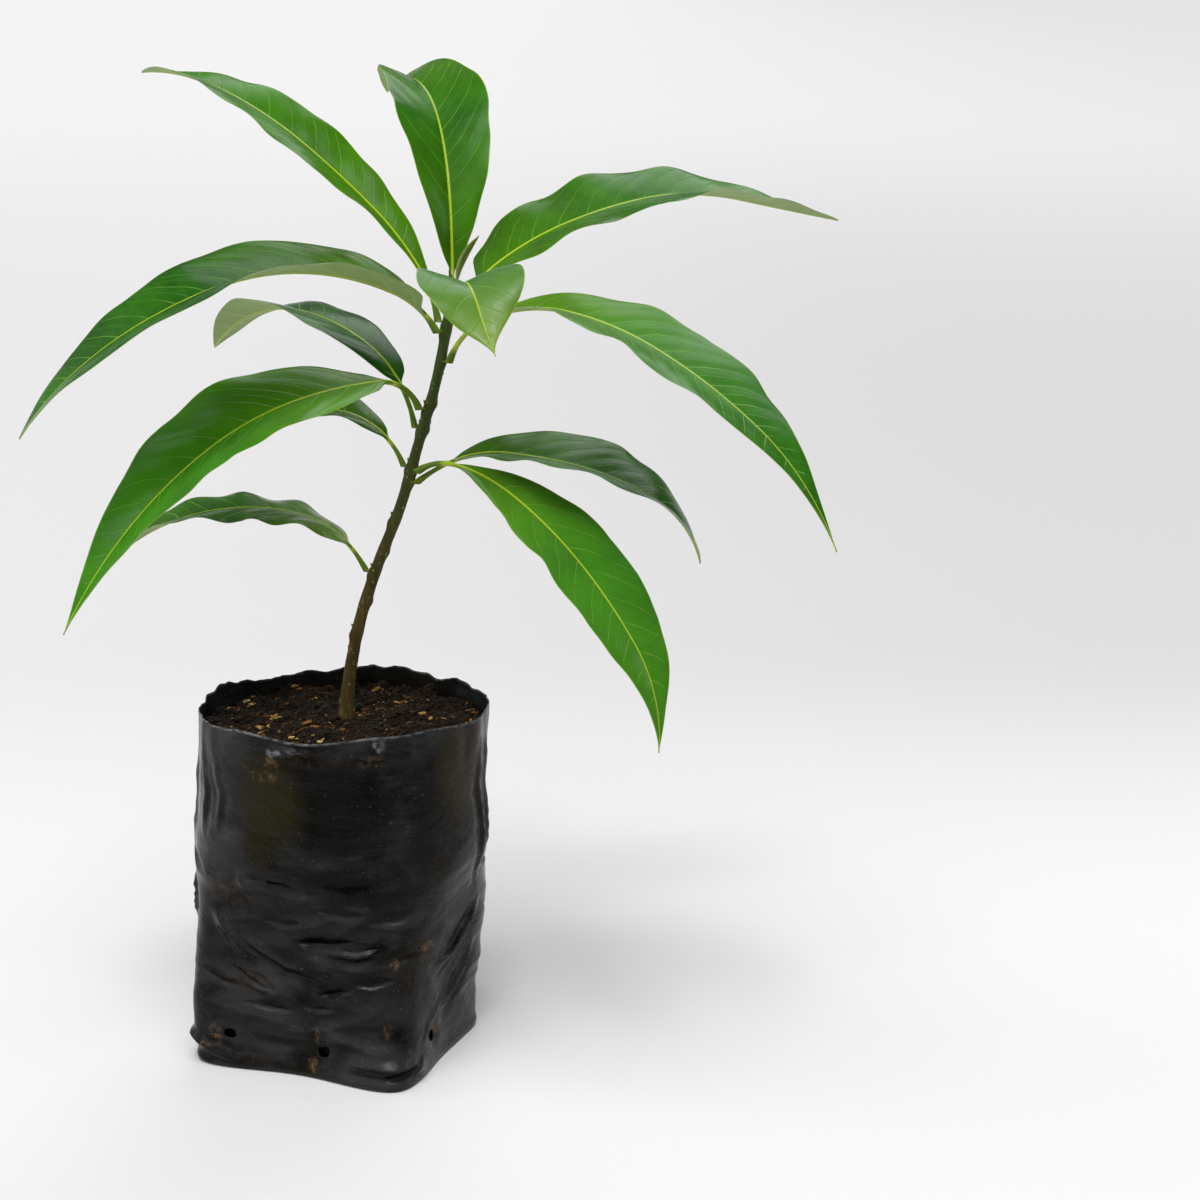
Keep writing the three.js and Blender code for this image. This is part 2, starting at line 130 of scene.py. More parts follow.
# Dents of the film: place round the bag in degrees and height, half their width and height, depth,
# and how steeply they fall to the right
DENTS = [
    (246, 71, 12, 3.8, 1.8, 0.14), (274, 73, 11, 2.8, 1.2, -0.02), (263, 50.5, 13, 3.1, 1.8, -0.1),
    (245, 56.5, 8.5, 2.3, 1.1, 0.02), (269, 33, 8, 2.8, 1.6, -0.22), (260, 26, 8, 1.7, 0.8, -0.04),
    (234, 24.5, 10, 2.2, 0.9, 0.08), (285, 37, 8, 2.3, 0.9, -0.06), (294, 59, 10, 3, 0.8, -0.06),
    (228, 33.5, 9, 2.8, 1.3, 0.45), (214, 33, 8, 2.8, 1.2, 0.35), (272, 62, 9, 2.6, 0.7, 0.1),
    (282, 85, 14, 3.2, 0.8, -0.08), (250, 88, 12, 3.4, 0.7, 0.12), (301, 46, 7, 2.6, 0.9, -0.3),
    (297, 6.5, 9, 3.2, 1.8, -0.24), (214, 7.5, 6, 3, 1.5, 0.5), (200, 72, 9, 3, 1.1, 0.3),
    (10, 66, 12, 3.4, 1.3, -0.1), (24, 44, 11, 3, 1.2, 0.2), (48, 56, 13, 3.4, 1.4, -0.16),
    (62, 30, 10, 2.8, 1.2, 0.1), (84, 62, 12, 3.2, 1.3, 0.12), (98, 34, 11, 2.8, 1.2, -0.2),
    (118, 66, 12, 3.4, 1.3, 0.06), (134, 42, 11, 3, 1.2, -0.14), (152, 70, 11, 3.2, 1.2, 0.18),
    (166, 38, 9, 2.8, 1.1, 0.1),
]

# Folds that stand out of the film: how far they stand, how far they reach over their crest and
# under it, and the places of the crest
FOLDS = [
    (1.5, 1.6, 2.4, [(264, 47.6), (278, 46.8), (292, 48.8)]),
    (1.4, 2.4, 2.6, [(222, 50), (232, 44.6), (243, 40), (257, 38.6), (271, 41)]),
    (0.7, 5, 2, [(236, 77.5), (250, 77.5), (262, 74)]),
    (0.8, 1.6, 3, [(229, 74.5), (232, 69.5), (236, 65)]),
    (1.6, 1.4, 5, [(214, 60), (219, 52), (224, 45.5), (231, 40)]),
    (1.3, 1.6, 3.6, [(219, 42), (226, 35), (235, 29)]),
    (1.4, 1.6, 3.4, [(190, 66), (193, 58), (198, 50)]),
    (1.9, 1.6, 5.5, [(362, 55), (350, 45), (335, 39), (317, 37)]),
    (1.7, 1.8, 4, [(364, 40), (352, 28), (336, 21), (324, 18)]),
    (0.8, 1.6, 3, [(345, 32), (330, 23), (314, 17), (307, 10)]),
    (1.6, 2.2, 3.6, [(188, 12), (203, 9.5), (214, 6), (224, 3)]),
    (1.6, 3, 3.4, [(272, 8), (284, 8.4), (300, 7.4), (312, 3)]),
    (0.4, 4, 2.8, [(220, 15), (242, 13.2), (266, 14.4), (290, 16)]),
    (1, 2.4, 2.4, [(345, 118), (342, 98), (348, 74), (357, 56)]),
    (0.9, 2, 2, [(354, 119), (352, 90), (358, 66)]),
    (0.9, 2.4, 2.4, [(188, 112), (186, 92), (190, 74)]),
    (0.6, 4, 2, [(256, 76), (271, 78), (288, 80)]),
    (0.7, 2.6, 2.6, [(203, 117), (207, 99), (204, 80)]),
    (0.5, 2.4, 2.4, [(214, 113), (219, 98), (216, 84)]),
    (0.5, 4, 2.4, [(248, 104), (262, 98), (280, 101)]),
    (0.5, 4, 2.4, [(226, 94), (241, 90), (255, 92)]),
    (0.7, 1.2, 2, [(243, 115.5), (251, 116.5), (258, 118.5)]),
    (0.8, 1.2, 1.6, [(286, 120.5), (288, 117), (289, 114)]),
    (1.2, 2, 4, [(15, 62), (40, 55), (62, 58)]),
    (1.3, 2, 4, [(70, 44), (95, 39), (118, 42)]),
    (1.2, 2, 4, [(110, 58), (135, 50), (160, 52)]),
    (1.1, 2, 3, [(140, 30), (160, 26), (178, 30)]),
    (1.1, 2, 3, [(20, 26), (44, 22), (70, 14)]),
]

# Marks on the film: place, size across and up, wet (painted shade on the right side), mud, olive and
# painted highlight
FILM_MARKS = [
    (244, 100, 11, 14, 0.85, 0, 0.9, 0), (240, 88, 6, 11, 0.7, 0, 0.6, 0),
    # The wet marks from 312 to 330 degrees paint shade on the bag's right side
    (246, 112, 2, 4, 0, 0.7, 0, 0), (240, 108, 3, 1.4, 0, 0.5, 0, 0), (330, 108, 11, 15, 0.8, 0, 1, 0),
    (326, 74, 13, 32, 1, 0.06, 0, 0), (312, 88, 9, 18, 0.9, 0, 0, 0),
    (312, 36, 12, 18, 0.75, 0.08, 0, 0), (272, 98, 20, 15, 0.85, 0, 0, 0),
    (286, 114, 4, 2, 0, 0.3, 0, 0), (265, 116, 10, 2.5, 0, 0.08, 0, 0),
    (212, 12, 1.4, 3.4, 0, 0.6, 0, 0), (209, 9, 1, 2.4, 0, 0.5, 0, 0),
    (256, 5, 1.8, 2.6, 0, 0.65, 0, 0), (259, 16, 0.9, 3, 0, 0.45, 0, 0),
    (324, 12.5, 2.2, 2, 0, 0.6, 0, 0), (312, 9, 1.4, 4, 0, 0.4, 0, 0),
    (290, 21, 1.2, 3.4, 0, 0.28, 0, 0), (294, 43, 1.5, 1.8, 0, 0.7, 0, 0),
    (311, 46.5, 5, 1.4, 0, 0.5, 0, 0), (260, 44, 1.6, 1.2, 0, 0.45, 0, 0),
    (228, 34, 9, 4, 0, 0.13, 0, 0), (222, 66, 10, 6, 0, 0.12, 0, 0), (247, 117, 2.6, 2.2, 0, 0, 0, 1),
    (255, 119.5, 6, 1.2, 0, 0, 0, 0.6), (289, 119, 2.4, 2, 0, 0, 0, 1),
    (282, 119.5, 5, 1.2, 0, 0, 0, 0.5), (205, 119, 5, 1.4, 0, 0, 0, 0.5),
    (338, 119, 4, 2, 0, 0, 0, 0.5), (60, 96, 20, 22, 0.8, 0, 0.6, 0),
    (130, 70, 18, 34, 0.9, 0.06, 0, 0), (95, 22, 22, 12, 0.5, 0.14, 0, 0),
    (172, 88, 10, 24, 0.6, 0, 0, 0), (15, 60, 12, 26, 0.6, 0, 0, 0),
]

# The potting mix
SOIL_HEIGHT = 117
SOIL_MOUND = 1.2
SOIL_MOUND_RADIUS = 40
SOIL_FLAT_RADIUS = 8
SOIL_FLAT_EDGE = 10
SOIL_WAVES = [
    {"height": 0.55, "along_x": 0.21, "along_y": 0.26, "shift": 1.5},
    {"height": 0.55, "along_x": 0.21, "along_y": -0.26, "shift": -0.5},
    {"height": 0.66, "along_x": 0.13, "along_y": -0.37, "shift": 0},
]
SOIL_LUMPS = [(11, 1.5), (5, 1.3), (2.4, 0.8)]
SOIL_COLUMNS = 200
SOIL_TOP_ROWS = 80
SOIL_EDGE = 0.5
SOIL_EDGE_DIP = 1.4
SOIL_EDGE_STRETCH = (0.93, 0.07)
SOIL_CALM = 0.25
SOIL_CALM_RADIUS = 2
SOIL_CALM_EDGE = 5
SOIL_INSET = 4
SOIL_SIDE_HEIGHTS = [SOIL_HEIGHT - 8, 90, 60, 30, SOIL_INSET]
SOIL_SIDE_LUMP = 1.5
CRUMB_EDGE = 1.6
FILM_CLEARANCE = 3.5
CRUMB_PILES = 12
PILE_CRUMBS = 520
CRUMB_SIZES = (0.25, 0.75)
CRUMB_SCALES = (0.7, 1.2)
CRUMB_STRETCHES = (0.6, 1.3)
CRUMB_LIFTS = (-0.1, 0.6)
CRUMB_FLATNESS = 0.8
CRUMB_ROUGHNESS = 0.5
CRUMB_LEAN = 0.5
CRUMB_DARK_SHARE = 0.975
CRUMB_PALE_TONES = (0.58, 0.9)
DARK_TONE = 0.62
CLOD_COUNT = 150
CLOD_SIZES = (0.9, 2.1)
CLOD_LIFT = 0.1
CLOD_FLATNESS = 0.75
CLOD_TONE = 0.75
CHIP_COUNT = 70
CHIP_LENGTHS = (1.2, 3.2)
CHIP_WIDTHS = (0.4, 1.0)
CHIP_TONES = (0.45, 0.8)
CHIP_LIFT = 0.6
CHIP_THICKNESS = 0.35
CHIP_FLAKES = 4
FLAKE_SPREAD = 0.32
FLAKE_SCALES = (0.45, 0.75)
FLAKE_TONES = (-0.08, 0.06)
FIBRE_COUNT = 170
FIBRE_POINTS = 8
FIBRE_SIDES = 5
FIBRE_STEPS = (0.5, 1.5)
FIBRE_TURNS = (-0.8, 0.8)
FIBRE_LIFT = 0.3
FIBRE_HOVER = 0.5
FIBRE_RADII = (0.08, 0.17)
FIBRE_TAPER = 0.08
FIBRE_TONES = [(0.35, 0.62), (0.55, 0.8)]

# Bits that lie on the mix: place, length, width, and tone from dark bark to pale straw
PLACED_CHIPS = [
    (-11.1, -13.0, 5.0, 3.0, 0.74), (-26.1, 28.7, 4.5, 2.6, 0.72), (-9.0, -15.5, 3.6, 2.0, 0.78),
    (-26.6, -7.8, 6.5, 1.8, 0.88), (28.4, 2.7, 6.5, 2.0, 0.86), (17.8, 19.2, 5.0, 2.0, 0.8),
    (7.8, 40.0, 4.5, 2.0, 0.84), (-41.5, 9.9, 4.0, 2.4, 0.86), (-23.8, -1.2, 5.0, 1.6, 0.9),
    (27.9, -18.2, 4.6, 2.8, 0.92), (-10.3, 14.8, 4.0, 2.4, 0.86), (-36.4, 25.8, 3.6, 2.0, 0.9),
    (-33.8, 17.9, 3.6, 2.2, 0.84), (-14.7, -25.9, 3.6, 1.8, 0.88), (-5.1, -28.3, 3.4, 1.6, 0.9),
    (6.4, 5.4, 5.0, 2.2, 0.66), (0.2, -13.0, 4.6, 2.6, 0.6), (-20.4, 38.6, 4.0, 2.2, 0.74),
]

# The stem
STEM_FOOT_X = 0.7
STEM_TOP = 264
STEM_FOOT_RADIUS = 2.15
STEM_TOP_RADIUS = 1.7
STEM_TIP_RADIUS = 0.9
STEM_TIP_LENGTH = 4
ROOT_FLARE = 0.9
ROOT_FLARE_HEIGHT = 7
ROOT_COUNT = 3
ROOT_RIDGE = 0.25
STEM_LEAN = [4, 10.5, 18, 23, 15.5, 17.5, 11, 12.5]
STEM_BOW = 1.5
LEAN_STEPS = 60
GAP = 0.3
JOINT_SWELL = 0.12
JOINT_REACH = 2.2
SHELF_SWELL = 0.55
SHELF_REACH = 1.6
SHELF_DROP = 1
SHELF_FOCUS = 3
SCARS = [
    {"foot": 147, "heading": [200]},
    {"foot": 158, "heading": [20]},
    {"foot": 175, "heading": [350]},
    {"foot": 186, "heading": [190]},
    {"foot": 217, "heading": [10]},
    {"foot": 226, "heading": [355]},
]
STEM_COLUMNS = 48
STEM_ROW_STEP = 0.7
STEM_SINK = 1.5
STEM_END_ROUNDING = 0.6
GREENING = (20, 95)
OLD_WOOD = 110
BARK_RELIEF = [
    {"width": 0.9, "high": 7, "young": 0.05, "old": 0.15},
    {"width": 1.6, "high": 2.2, "young": 0.04, "old": 0.09},
]
LENTICEL_COUNT = 80
LENTICEL_FROM = 2
LENTICEL_END = 25
LENTICEL_SIZES = (0.14, 0.3)
LENTICEL_SINK = 0.02
LENTICEL_STRETCH = 1.9
BUD_SIDES = 12
BUD_PLACES = [0, 0.12, 0.3, 0.5, 0.7, 0.85, 0.96]
BUD_FATNESS = [0.7, 0.95, 1, 0.85, 0.58, 0.32, 0.12]
BUD_LENGTHS = (1.3, 1.9)
BUD_RADII = (0.42, 0.55)
BUD_RISE = 1.5
BUD_SINK = 0.5
BUD_LEAN = 0.55
TIP_BUD = {"length": 8.5, "radius": 1.05, "pointing": (-0.22, -0.1, 1)}

# The leaves
LEAF_ROWS = 150
FACE_STEPS = 40
CROWDING = 1.25
STALK_RADIUS = 0.85
STALK_FOOT_RADIUS = 1.25
STALK_FOOT_LENGTH = 4
STALK_FULL_LEAF = 140
STALK_MOST = 1.05
STALK_SINK = 2.2
FOOT_POINTS = 24
FOOT_MOVES = 6
BLADE_START = 0.06
BLADE_THICKNESS = 0.4
FINE_TIP = 0.15
CUP = 0.12
SIDE_WAVE_SHIFT = 1.9
VEIN_SPACING = 10.5
VEIN_SWEEP = 0.6
VEIN_CURVE = 0.03
VEIN_WANDER = 4
WEAK_VEIN = 0.3
FRESH_PATCHES = 1.2
QUILT = 0.06
QUILT_FADE = 4
RIPPLE = 0.6
RIPPLE_LENGTH = 13
UNEVEN = 0.09
UNEVEN_LENGTH = 11

# The midrib at the blade's foot and at its tip, and where the lists below have their places
RIB_DEPTH = (0.95, 0.12)
RIB_WIDTH = (0.8, 0.3)
TOP_RIB_HEIGHT = (0.2, 0.08)
TOP_RIB_NARROWING = 0.5
MARGIN_THINNING = 0.6
PITCH_PLACES = [0, 0.12, 0.3, 0.5, 0.75, 1]
TURN_PLACES = [0, 0.5, 1]

# Lengths, and angles in degrees. A list runs from the leaf's foot to its tip, at the places above.
# fresh, grey and yellow are the tones of its top and underside. The grey tone is partly a dull grey and
# partly painted sheen.
LEAVES = {
    "low_left": {
        "foot": 168, "stalk": 9, "length": 98, "width": 30.8, "belly": 0.68, "taper": 0.8,
        "pitch": [62, 47, 15, -1, -20, -43],
        "heading": [165, 181, 174], "roll": [-9, 7, 10], "fold": [3, 6, 38],
        "wave": {"height": 1, "count": 5, "shift": -0.6},
        "fresh": [0.6, 0.25, 0.2], "grey_and_sheen": [0, 0.2, 0.25], "yellow": [0.35, 0, 0.1],
    },
    "low_right": {
        "foot": 199, "stalk": 12, "length": 116, "width": 42, "belly": 1.01, "taper": 0.95,
        "pitch": [39, 25, -2, -8, -28, -78],
        "heading": [345, 334, 367], "roll": [-22, -3, 1], "fold": [17, 21, 13],
        "wave": {"height": 0.5, "count": 5, "shift": 2.4},
        "fresh": [0.35, 0.2, 0.05], "grey_and_sheen": [0, 0.05, 0.05], "yellow": [0.15, 0, 0.05],
    },
    "low_front": {
        "foot": 203, "stalk": 13, "length": 147, "width": 36.5, "belly": 0.99, "taper": 1.44,
        "pitch": [32, -6, -27, -39, -51, -95],
        "heading": [320, 322, 317], "roll": [-28, -3, -17], "fold": [17, 15, 12],
        "wave": {"height": 0.6, "count": 5, "shift": -0.1},
        "fresh": [0.8, 0.8, 0.7], "grey_and_sheen": [0.15, 0.15, 0.1], "yellow": [0.2, 0, 0.05],
    },
    "mid_back_left": {
        "foot": 204, "stalk": 9, "length": 98, "width": 26, "belly": 0.9, "taper": 1,
        "pitch": [66, 40, 8, -12, -30, -42],
        "heading": [150, 155, 165], "roll": [8, 10, 10], "fold": [16, 16, 12],
        "wave": {"height": 1, "count": 5, "shift": 0},
        "fresh": [0.4, 0.45, 0.6], "grey_and_sheen": [0, 0, 0], "yellow": [0.2, 0, 0.1],
    },
    "mid_left": {
        "foot": 217, "stalk": 14, "length": 119, "width": 29.5, "belly": 0.88, "taper": 0.8,
        "pitch": [78, 55, 27, 12, -20, -39],
        "heading": [140, 147, 125], "roll": [7, -2, -25], "fold": [5, 13, 33],
        "wave": {"height": 0.5, "count": 4, "shift": 0.4},
        "fresh": [0.1, 0, 0.1], "grey_and_sheen": [0, 0.1, 0.6], "yellow": [0, 0, 0.1],
    },
    "mid_front_left": {
        "foot": 224, "stalk": 13, "length": 158, "width": 44, "belly": 0.69, "taper": 1.28,
        "pitch": [72, -3, -15, -33, -46, -58],
        "heading": [205, 205, 221], "roll": [14, 19, 18], "fold": [3, 26, 27],
        "wave": {"height": 0.7, "count": 5, "shift": 2.6},
        "fresh": [0.85, 0.8, 0.75], "grey_and_sheen": [0, 0, 0], "yellow": [0.2, 0, 0],
    },
    "high_right": {
        "foot": 240, "stalk": 6, "length": 186, "width": 37.2, "belly": 1.02, "taper": 1.6,
        "pitch": [67, 23, -6, -22, -33, -62],
        "heading": [325, 322, 315], "roll": [-15, -4, -3], "fold": [30, 19, 17],
        "wave": {"height": 0.8, "count": 5, "shift": -0.7},
        "fresh": [0.6, 0.6, 0.1], "grey_and_sheen": [0, 0.2, 0], "yellow": [0.3, 0, 0],
    },
    "high_left": {
        "foot": 250, "stalk": 7, "length": 169, "width": 44, "belly": 0.68, "taper": 0.8,
        "pitch": [62, 25, 7, -13, -35, -55],
        "heading": [205, 219, 162], "roll": [13, 2, 29], "fold": [30, 23, 15],
        "wave": {"height": 0.5, "count": 5, "shift": 3.8},
        "fresh": [0.15, 0, 0.3], "grey_and_sheen": [0, 0, 0.1], "yellow": [0.15, 0, 0],
    },
    "top_left": {
        "foot": 253, "stalk": 8, "length": 151, "width": 27.9, "belly": 1.15, "taper": 0.8,
        "pitch": [80, 57, 42, 38, 20, -6],
        "heading": [155, 163, 137], "roll": [15, 19, -15], "fold": [37, 23, 17],
        "wave": {"height": 0.5, "count": 6, "shift": 2.6},
        "fresh": [0.65, 0.6, 0.5], "grey_and_sheen": [0, 0, 0], "yellow": [0.15, 0.05, 0],
    },
    "top_right": {
        "foot": 259, "stalk": 7, "length": 148, "width": 41.7, "belly": 0.68, "taper": 0.8,
        "pitch": [55, 34, 20, 10, -13, -12],
        "heading": [25, 22, 14], "roll": [-9, -14, 6], "fold": [18, 20, 30],
        "wave": {"height": 1.1, "count": 5, "shift": -0.1},
        "fresh": [0.35, 0.3, 0.3], "grey_and_sheen": [0, 0.1, 0.3], "yellow": [0.1, 0, 0.1],
    },
    "top_front": {
        "foot": 260, "stalk": 6, "length": 72, "width": 36.4, "belly": 1.13, "taper": 1.6,
        "pitch": [32, 20, 16, 4, -47, -50],
        "heading": [278, 282, 303], "roll": [11, -3, -22], "fold": [13, 26, 3],
        "wave": {"height": 0.7, "count": 3, "shift": 0.7},
        "fresh": [0.7, 0.8, 0.9], "grey_and_sheen": [0.5, 0.7, 0.5], "yellow": [0.1, 0, 0.5],
    },
    "top_back": {
        "foot": 261, "stalk": 6, "length": 123, "width": 38.5, "belly": 1.13, "taper": 0.82,
        "pitch": [85, 85, 61, 41, 12, -30],
        "heading": [95, 105, 119], "roll": [-20, 0, 7], "fold": [34, 33, 30],
        "wave": {"height": 0.9, "count": 4, "shift": -0.2},
        "fresh": [0.5, 0.45, 0.15], "grey_and_sheen": [0, 0, 0], "yellow": [0.1, 0, 0.15],
    },
}
YOUNG_LEAF = {
    "foot": STEM_TOP, "stalk": 2, "length": 19, "width": 6, "belly": 1, "taper": 1,
    "pitch": [72, 70, 66, 62, 60, 60],
    "heading": [30, 12, 4], "roll": [0, 0, 0], "fold": [50, 50, 50],
    "wave": {"height": 0, "count": 1, "shift": 0},
    "fresh": [0.5, 0.5, 0.5], "grey_and_sheen": [0, 0, 0], "yellow": [0.4, 0.4, 0.4],
}

# Colours, as shares of red, green and blue light
LEAF_DEEP = (0.007, 0.062, 0.0015)
LEAF_FRESH = (0.044, 0.215, 0.003)
# Grey of the top: partly a dull tone, partly painted sheen
LEAF_GREY_SHEEN = (0.07, 0.15, 0.055)
LEAF_YELLOW = (0.28, 0.38, 0.015)
LEAF_MOTTLE = (0.05, 0.23, 0.01)
TOP_VEIN = (0.17, 0.36, 0.035)
TOP_MIDRIB = (0.4, 0.54, 0.025)
TOP_MARGIN = (0.24, 0.36, 0.04)
STALK_DARK = (0.06, 0.12, 0.008)
STALK_LIGHT = (0.15, 0.23, 0.015)
# Underside colours: the paler green of the underside, with painted glow of light shining through the blade
UNDERSIDE_DULL_GLOW = (0.26, 0.38, 0.13)
UNDERSIDE_PALE_GLOW = (0.36, 0.49, 0.19)
UNDERSIDE_GREY = (0.2, 0.25, 0.13)
UNDERSIDE_YELLOW = (0.34, 0.42, 0.05)
UNDERSIDE_NET = (0.3, 0.4, 0.16)
UNDERSIDE_VEIN = (0.5, 0.6, 0.27)
UNDERSIDE_MIDRIB = (0.45, 0.55, 0.12)
YOUNG_OLIVE = (0.1, 0.13, 0.02)
YOUNG_GREEN = (0.17, 0.25, 0.04)
YOUNG_MIDRIB = (0.27, 0.36, 0.08)
BARK_DARK = (0.026, 0.015, 0.002)
BARK_BROWN = (0.075, 0.048, 0.006)
BARK_STREAK = (0.13, 0.095, 0.025)
BARK_DARK_GREEN = (0.016, 0.03, 0.003)
BARK_GREEN = (0.05, 0.078, 0.007)
BARK_GREEN_STREAK = (0.1, 0.115, 0.03)
CORK_BROWN = (0.17, 0.14, 0.07)
CORK_PALE = (0.34, 0.3, 0.18)
BUD_DARK = (0.02, 0.022, 0.004)
BUD_OLIVE = (0.08, 0.08, 0.012)
FILM_BLACK = (0.0018, 0.0016, 0.0013)
FILM_HAZE = (0.0215, 0.0225, 0.0235)
FILM_OLIVE = (0.02, 0.016, 0.004)
FILM_SCUFF = (0.08, 0.082, 0.085)
FILM_SMEAR = (0.06, 0.062, 0.066)
# Painted highlight of the film near its rim
FILM_PAINTED_HIGHLIGHT = (0.13, 0.135, 0.145)
FILM_SPECK = (0.14, 0.11, 0.07)
DRY_MUD = (0.15, 0.088, 0.036)
SOIL_BLACK = (0.003, 0.0018, 0.001)
SOIL_BROWN = (0.026, 0.0135, 0.006)
SOIL_CHIP = (0.12, 0.055, 0.016)
CRUMB_SHADE = (0.012, 0.007, 0.004)
CRUMB_TONES = [
    (0.0, SOIL_BLACK),
    (0.45, (0.016, 0.0085, 0.004)),
    (0.62, (0.06, 0.028, 0.009)),
    (0.74, (0.26, 0.10, 0.02)),
    (0.86, (0.44, 0.27, 0.07)),
    (1.0, (0.62, 0.5, 0.2)),
]
FLOOR_PALE = (0.66, 0.655, 0.66)
# Painted shade of the floor behind the plant and far off to the right
FLOOR_SHADE = (0.5, 0.493, 0.498)
FLOOR_FAR_SHADE = (0.56, 0.55, 0.555)
FLOOR_DARK = (0.15, 0.148, 0.15)

# The studio, in metres. Suns have a name, a place, a strength and a width in degrees,
# and the bright panels beside the tree a name, a place and a strength.
STUDIO_MIDDLE = (0.03, 0, 0.16)
SUNS = [
    ("soft_key", (0.05, -0.85, 1.9), 2.35, 46),
    ("small_key", (0.0, -0.9, 1.7), 0.8, 12),
    ("back_light", (0.28, 0.9, 1.25), 0.85, 38),
    ("left_fill", (-1.0, -0.5, 0.9), 0.8, 90),
]
PANELS = [("left_panel", (-1.5, 0.1, 0.5), 3), ("right_panel", (1.5, 0.3, 0.3), 4)]
PANEL_SHAPE = {"shape": "RECTANGLE", "size": 0.45, "size_y": 1.3}
BACKDROP_GLOW = 0.75
ROOM_GLOW = 0.12
LEFT_GLOW = 0.25
FLOOR_HALF = 30
FLOOR_DROP = 0.0002
CAMERA_PLACE = (0.088, -0.939, 0.375)
CAMERA_TILT = 77
CAMERA_LENS = 85
CAMERA_SENSOR = 36


# Small helpers


def smooth(share):
    x = min(max(share, 0), 1)
    return x * x * (3 - 2 * x)


def mix(a, b, share):
    return a + (b - a) * share


def bump(distance, reach):
    return math.exp(-((distance / reach) ** 2))


def rising(z, start, over):
    """0 under the start, and 1 from that much over it."""
    return smooth((z - start) / over)


def side_noise(spot, z, width, high):
    """Soft noise round an upright piece, with waves of that width and height."""
    return noise.noise(Vector((spot.x / width, spot.y / width, z / high)))


def turns(count):
    """Angles all the way round, evenly spaced."""
    return [2 * math.pi * k / count for k in range(count)]


def along(values, places, place):
    """Value at a place along a list of values, straight between the places given."""
    last = 1
    while last < len(places) - 1 and place > places[last]:
        last += 1
    share = (place - places[last - 1]) / (places[last] - places[last - 1])
    return mix(values[last - 1], values[last], min(max(share, 0), 1))


def heading_vector(angle):
    return Vector((math.cos(angle), math.sin(angle), 0))


def skin(mesh, rings, marks=None):
    """Joins rings of points, which run the same way round, into a skin. marks are kept on its points."""
    marks = marks or {}
    layers = {}
    for name, values in marks.items():
        kinds = mesh.verts.layers
        kind = kinds.float_vector if isinstance(values[0][0], Vector) else kinds.float
        layers[name] = kind.get(name) or kind.new(name)
    rows = len(rings) - 1
    columns = len(rings[0])
    made = bmesh.ops.create_grid(mesh, x_segments=rows, y_segments=columns, size=0.5)["verts"]
    for face in {face for vert in made for face in vert.link_faces}:
        face.material_index = 1 if face.calc_center_median().y > 0 else 0
    for vert in made:
        row = round((vert.co.x + 0.5) * rows)
        column = round((vert.co.y + 0.5) * columns) % columns
        vert.co = rings[row][column]
        for name, layer in layers.items():
            vert[layer] = marks[name][row][column]
    bmesh.ops.remove_doubles(mesh, verts=made, dist=JOIN)


def point_ring(point, count):
    """A ring of one repeated point, which closes the end of a skin."""
    return [Vector(point)] * count


def tube_rings(path, radii, sides):
    """Round rings along a path, closed at both ends."""
    rings = [point_ring(path[0], sides)]
    for index, point in enumerate(path):
        ahead = path[min(index + 1, len(path) - 1)] - path[max(index - 1, 0)]
        ahead.normalize()
        side = ahead.cross(Vector((0.13, 0.31, 0.94))).normalized()
        lift = side.cross(ahead)
        around = [side * math.cos(angle) + lift * math.sin(angle) for angle in turns(sides)]
        rings.append([point + way * radii[index] for way in around])
    rings.append(point_ring(path[-1], sides))
    return rings


def finish_evenly(mesh):
    """Soft shading, and one finish all over."""
    for face in mesh.faces:
        face.material_index = 0
        face.smooth = True


def face_outwards(mesh):
    bmesh.ops.recalc_face_normals(mesh, faces=mesh.faces)
    finish_evenly(mesh)


def make_piece(mesh, name, materials, replaced=()):
    bmesh.ops.scale(mesh, vec=(MM, MM, MM), verts=mesh.verts)
    data = bpy.data.meshes.new(name)
    mesh.to_mesh(data)
    mesh.free()
    for material in materials:
        data.materials.append(material)
    piece = bpy.data.objects.new(name, data)
    bpy.context.scene.collection.objects.link(piece)
    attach(piece, "root")
    if replaced:
        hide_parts(*replaced)
    return piece


# Helpers for the materials


def add_node(tree, kind, inputs, **settings):
    made = tree.nodes.new(kind)
    for name, value in settings.items():
        setattr(made, name, value)
    for socket, value in inputs.items():
        if isinstance(value, bpy.types.NodeSocket):
            tree.links.new(value, made.inputs[socket])
        else:
            made.inputs[socket].default_value = value
    return made


def calc(tree, operation, first, second=0.0):
    return add_node(tree, "ShaderNodeMath", {0: first, 1: second}, operation=operation).outputs[0]


def plus(tree, first, second):
    return calc(tree, "ADD", first, second)


def minus(tree, first, second):
    return calc(tree, "SUBTRACT", first, second)


def times(tree, first, second):
    return calc(tree, "MULTIPLY", first, second)


def ramp(tree, value, low, high):
    """0 at low and 1 at high, soft at both ends."""
    inputs = {0: value, 1: low, 2: high, 3: 0.0, 4: 1.0}
    made = add_node(tree, "ShaderNodeMapRange", inputs, interpolation_type="SMOOTHSTEP")
    return made.outputs[0]


def between(tree, value, low, high):
    """low where value is 0, high where it is 1."""
    inputs = {0: value, 1: 0.0, 2: 1.0, 3: low, 4: high}
    return add_node(tree, "ShaderNodeMapRange", inputs).outputs[0]


def colour_mix(tree, share, first, second):
    colours = {0: share}
    for socket, colour in ((6, first), (7, second)):
        colours[socket] = (*colour, 1) if isinstance(colour, tuple) else colour
    return add_node(tree, "ShaderNodeMix", colours, data_type="RGBA").outputs[2]


def tinted(tree, colour, share, tint, most=1.0):
    """Turns a colour towards a tint by that share of the most that it may."""
    if most < 1:
        share = times(tree, share, most)
    return colour_mix(tree, share, colour, tint)


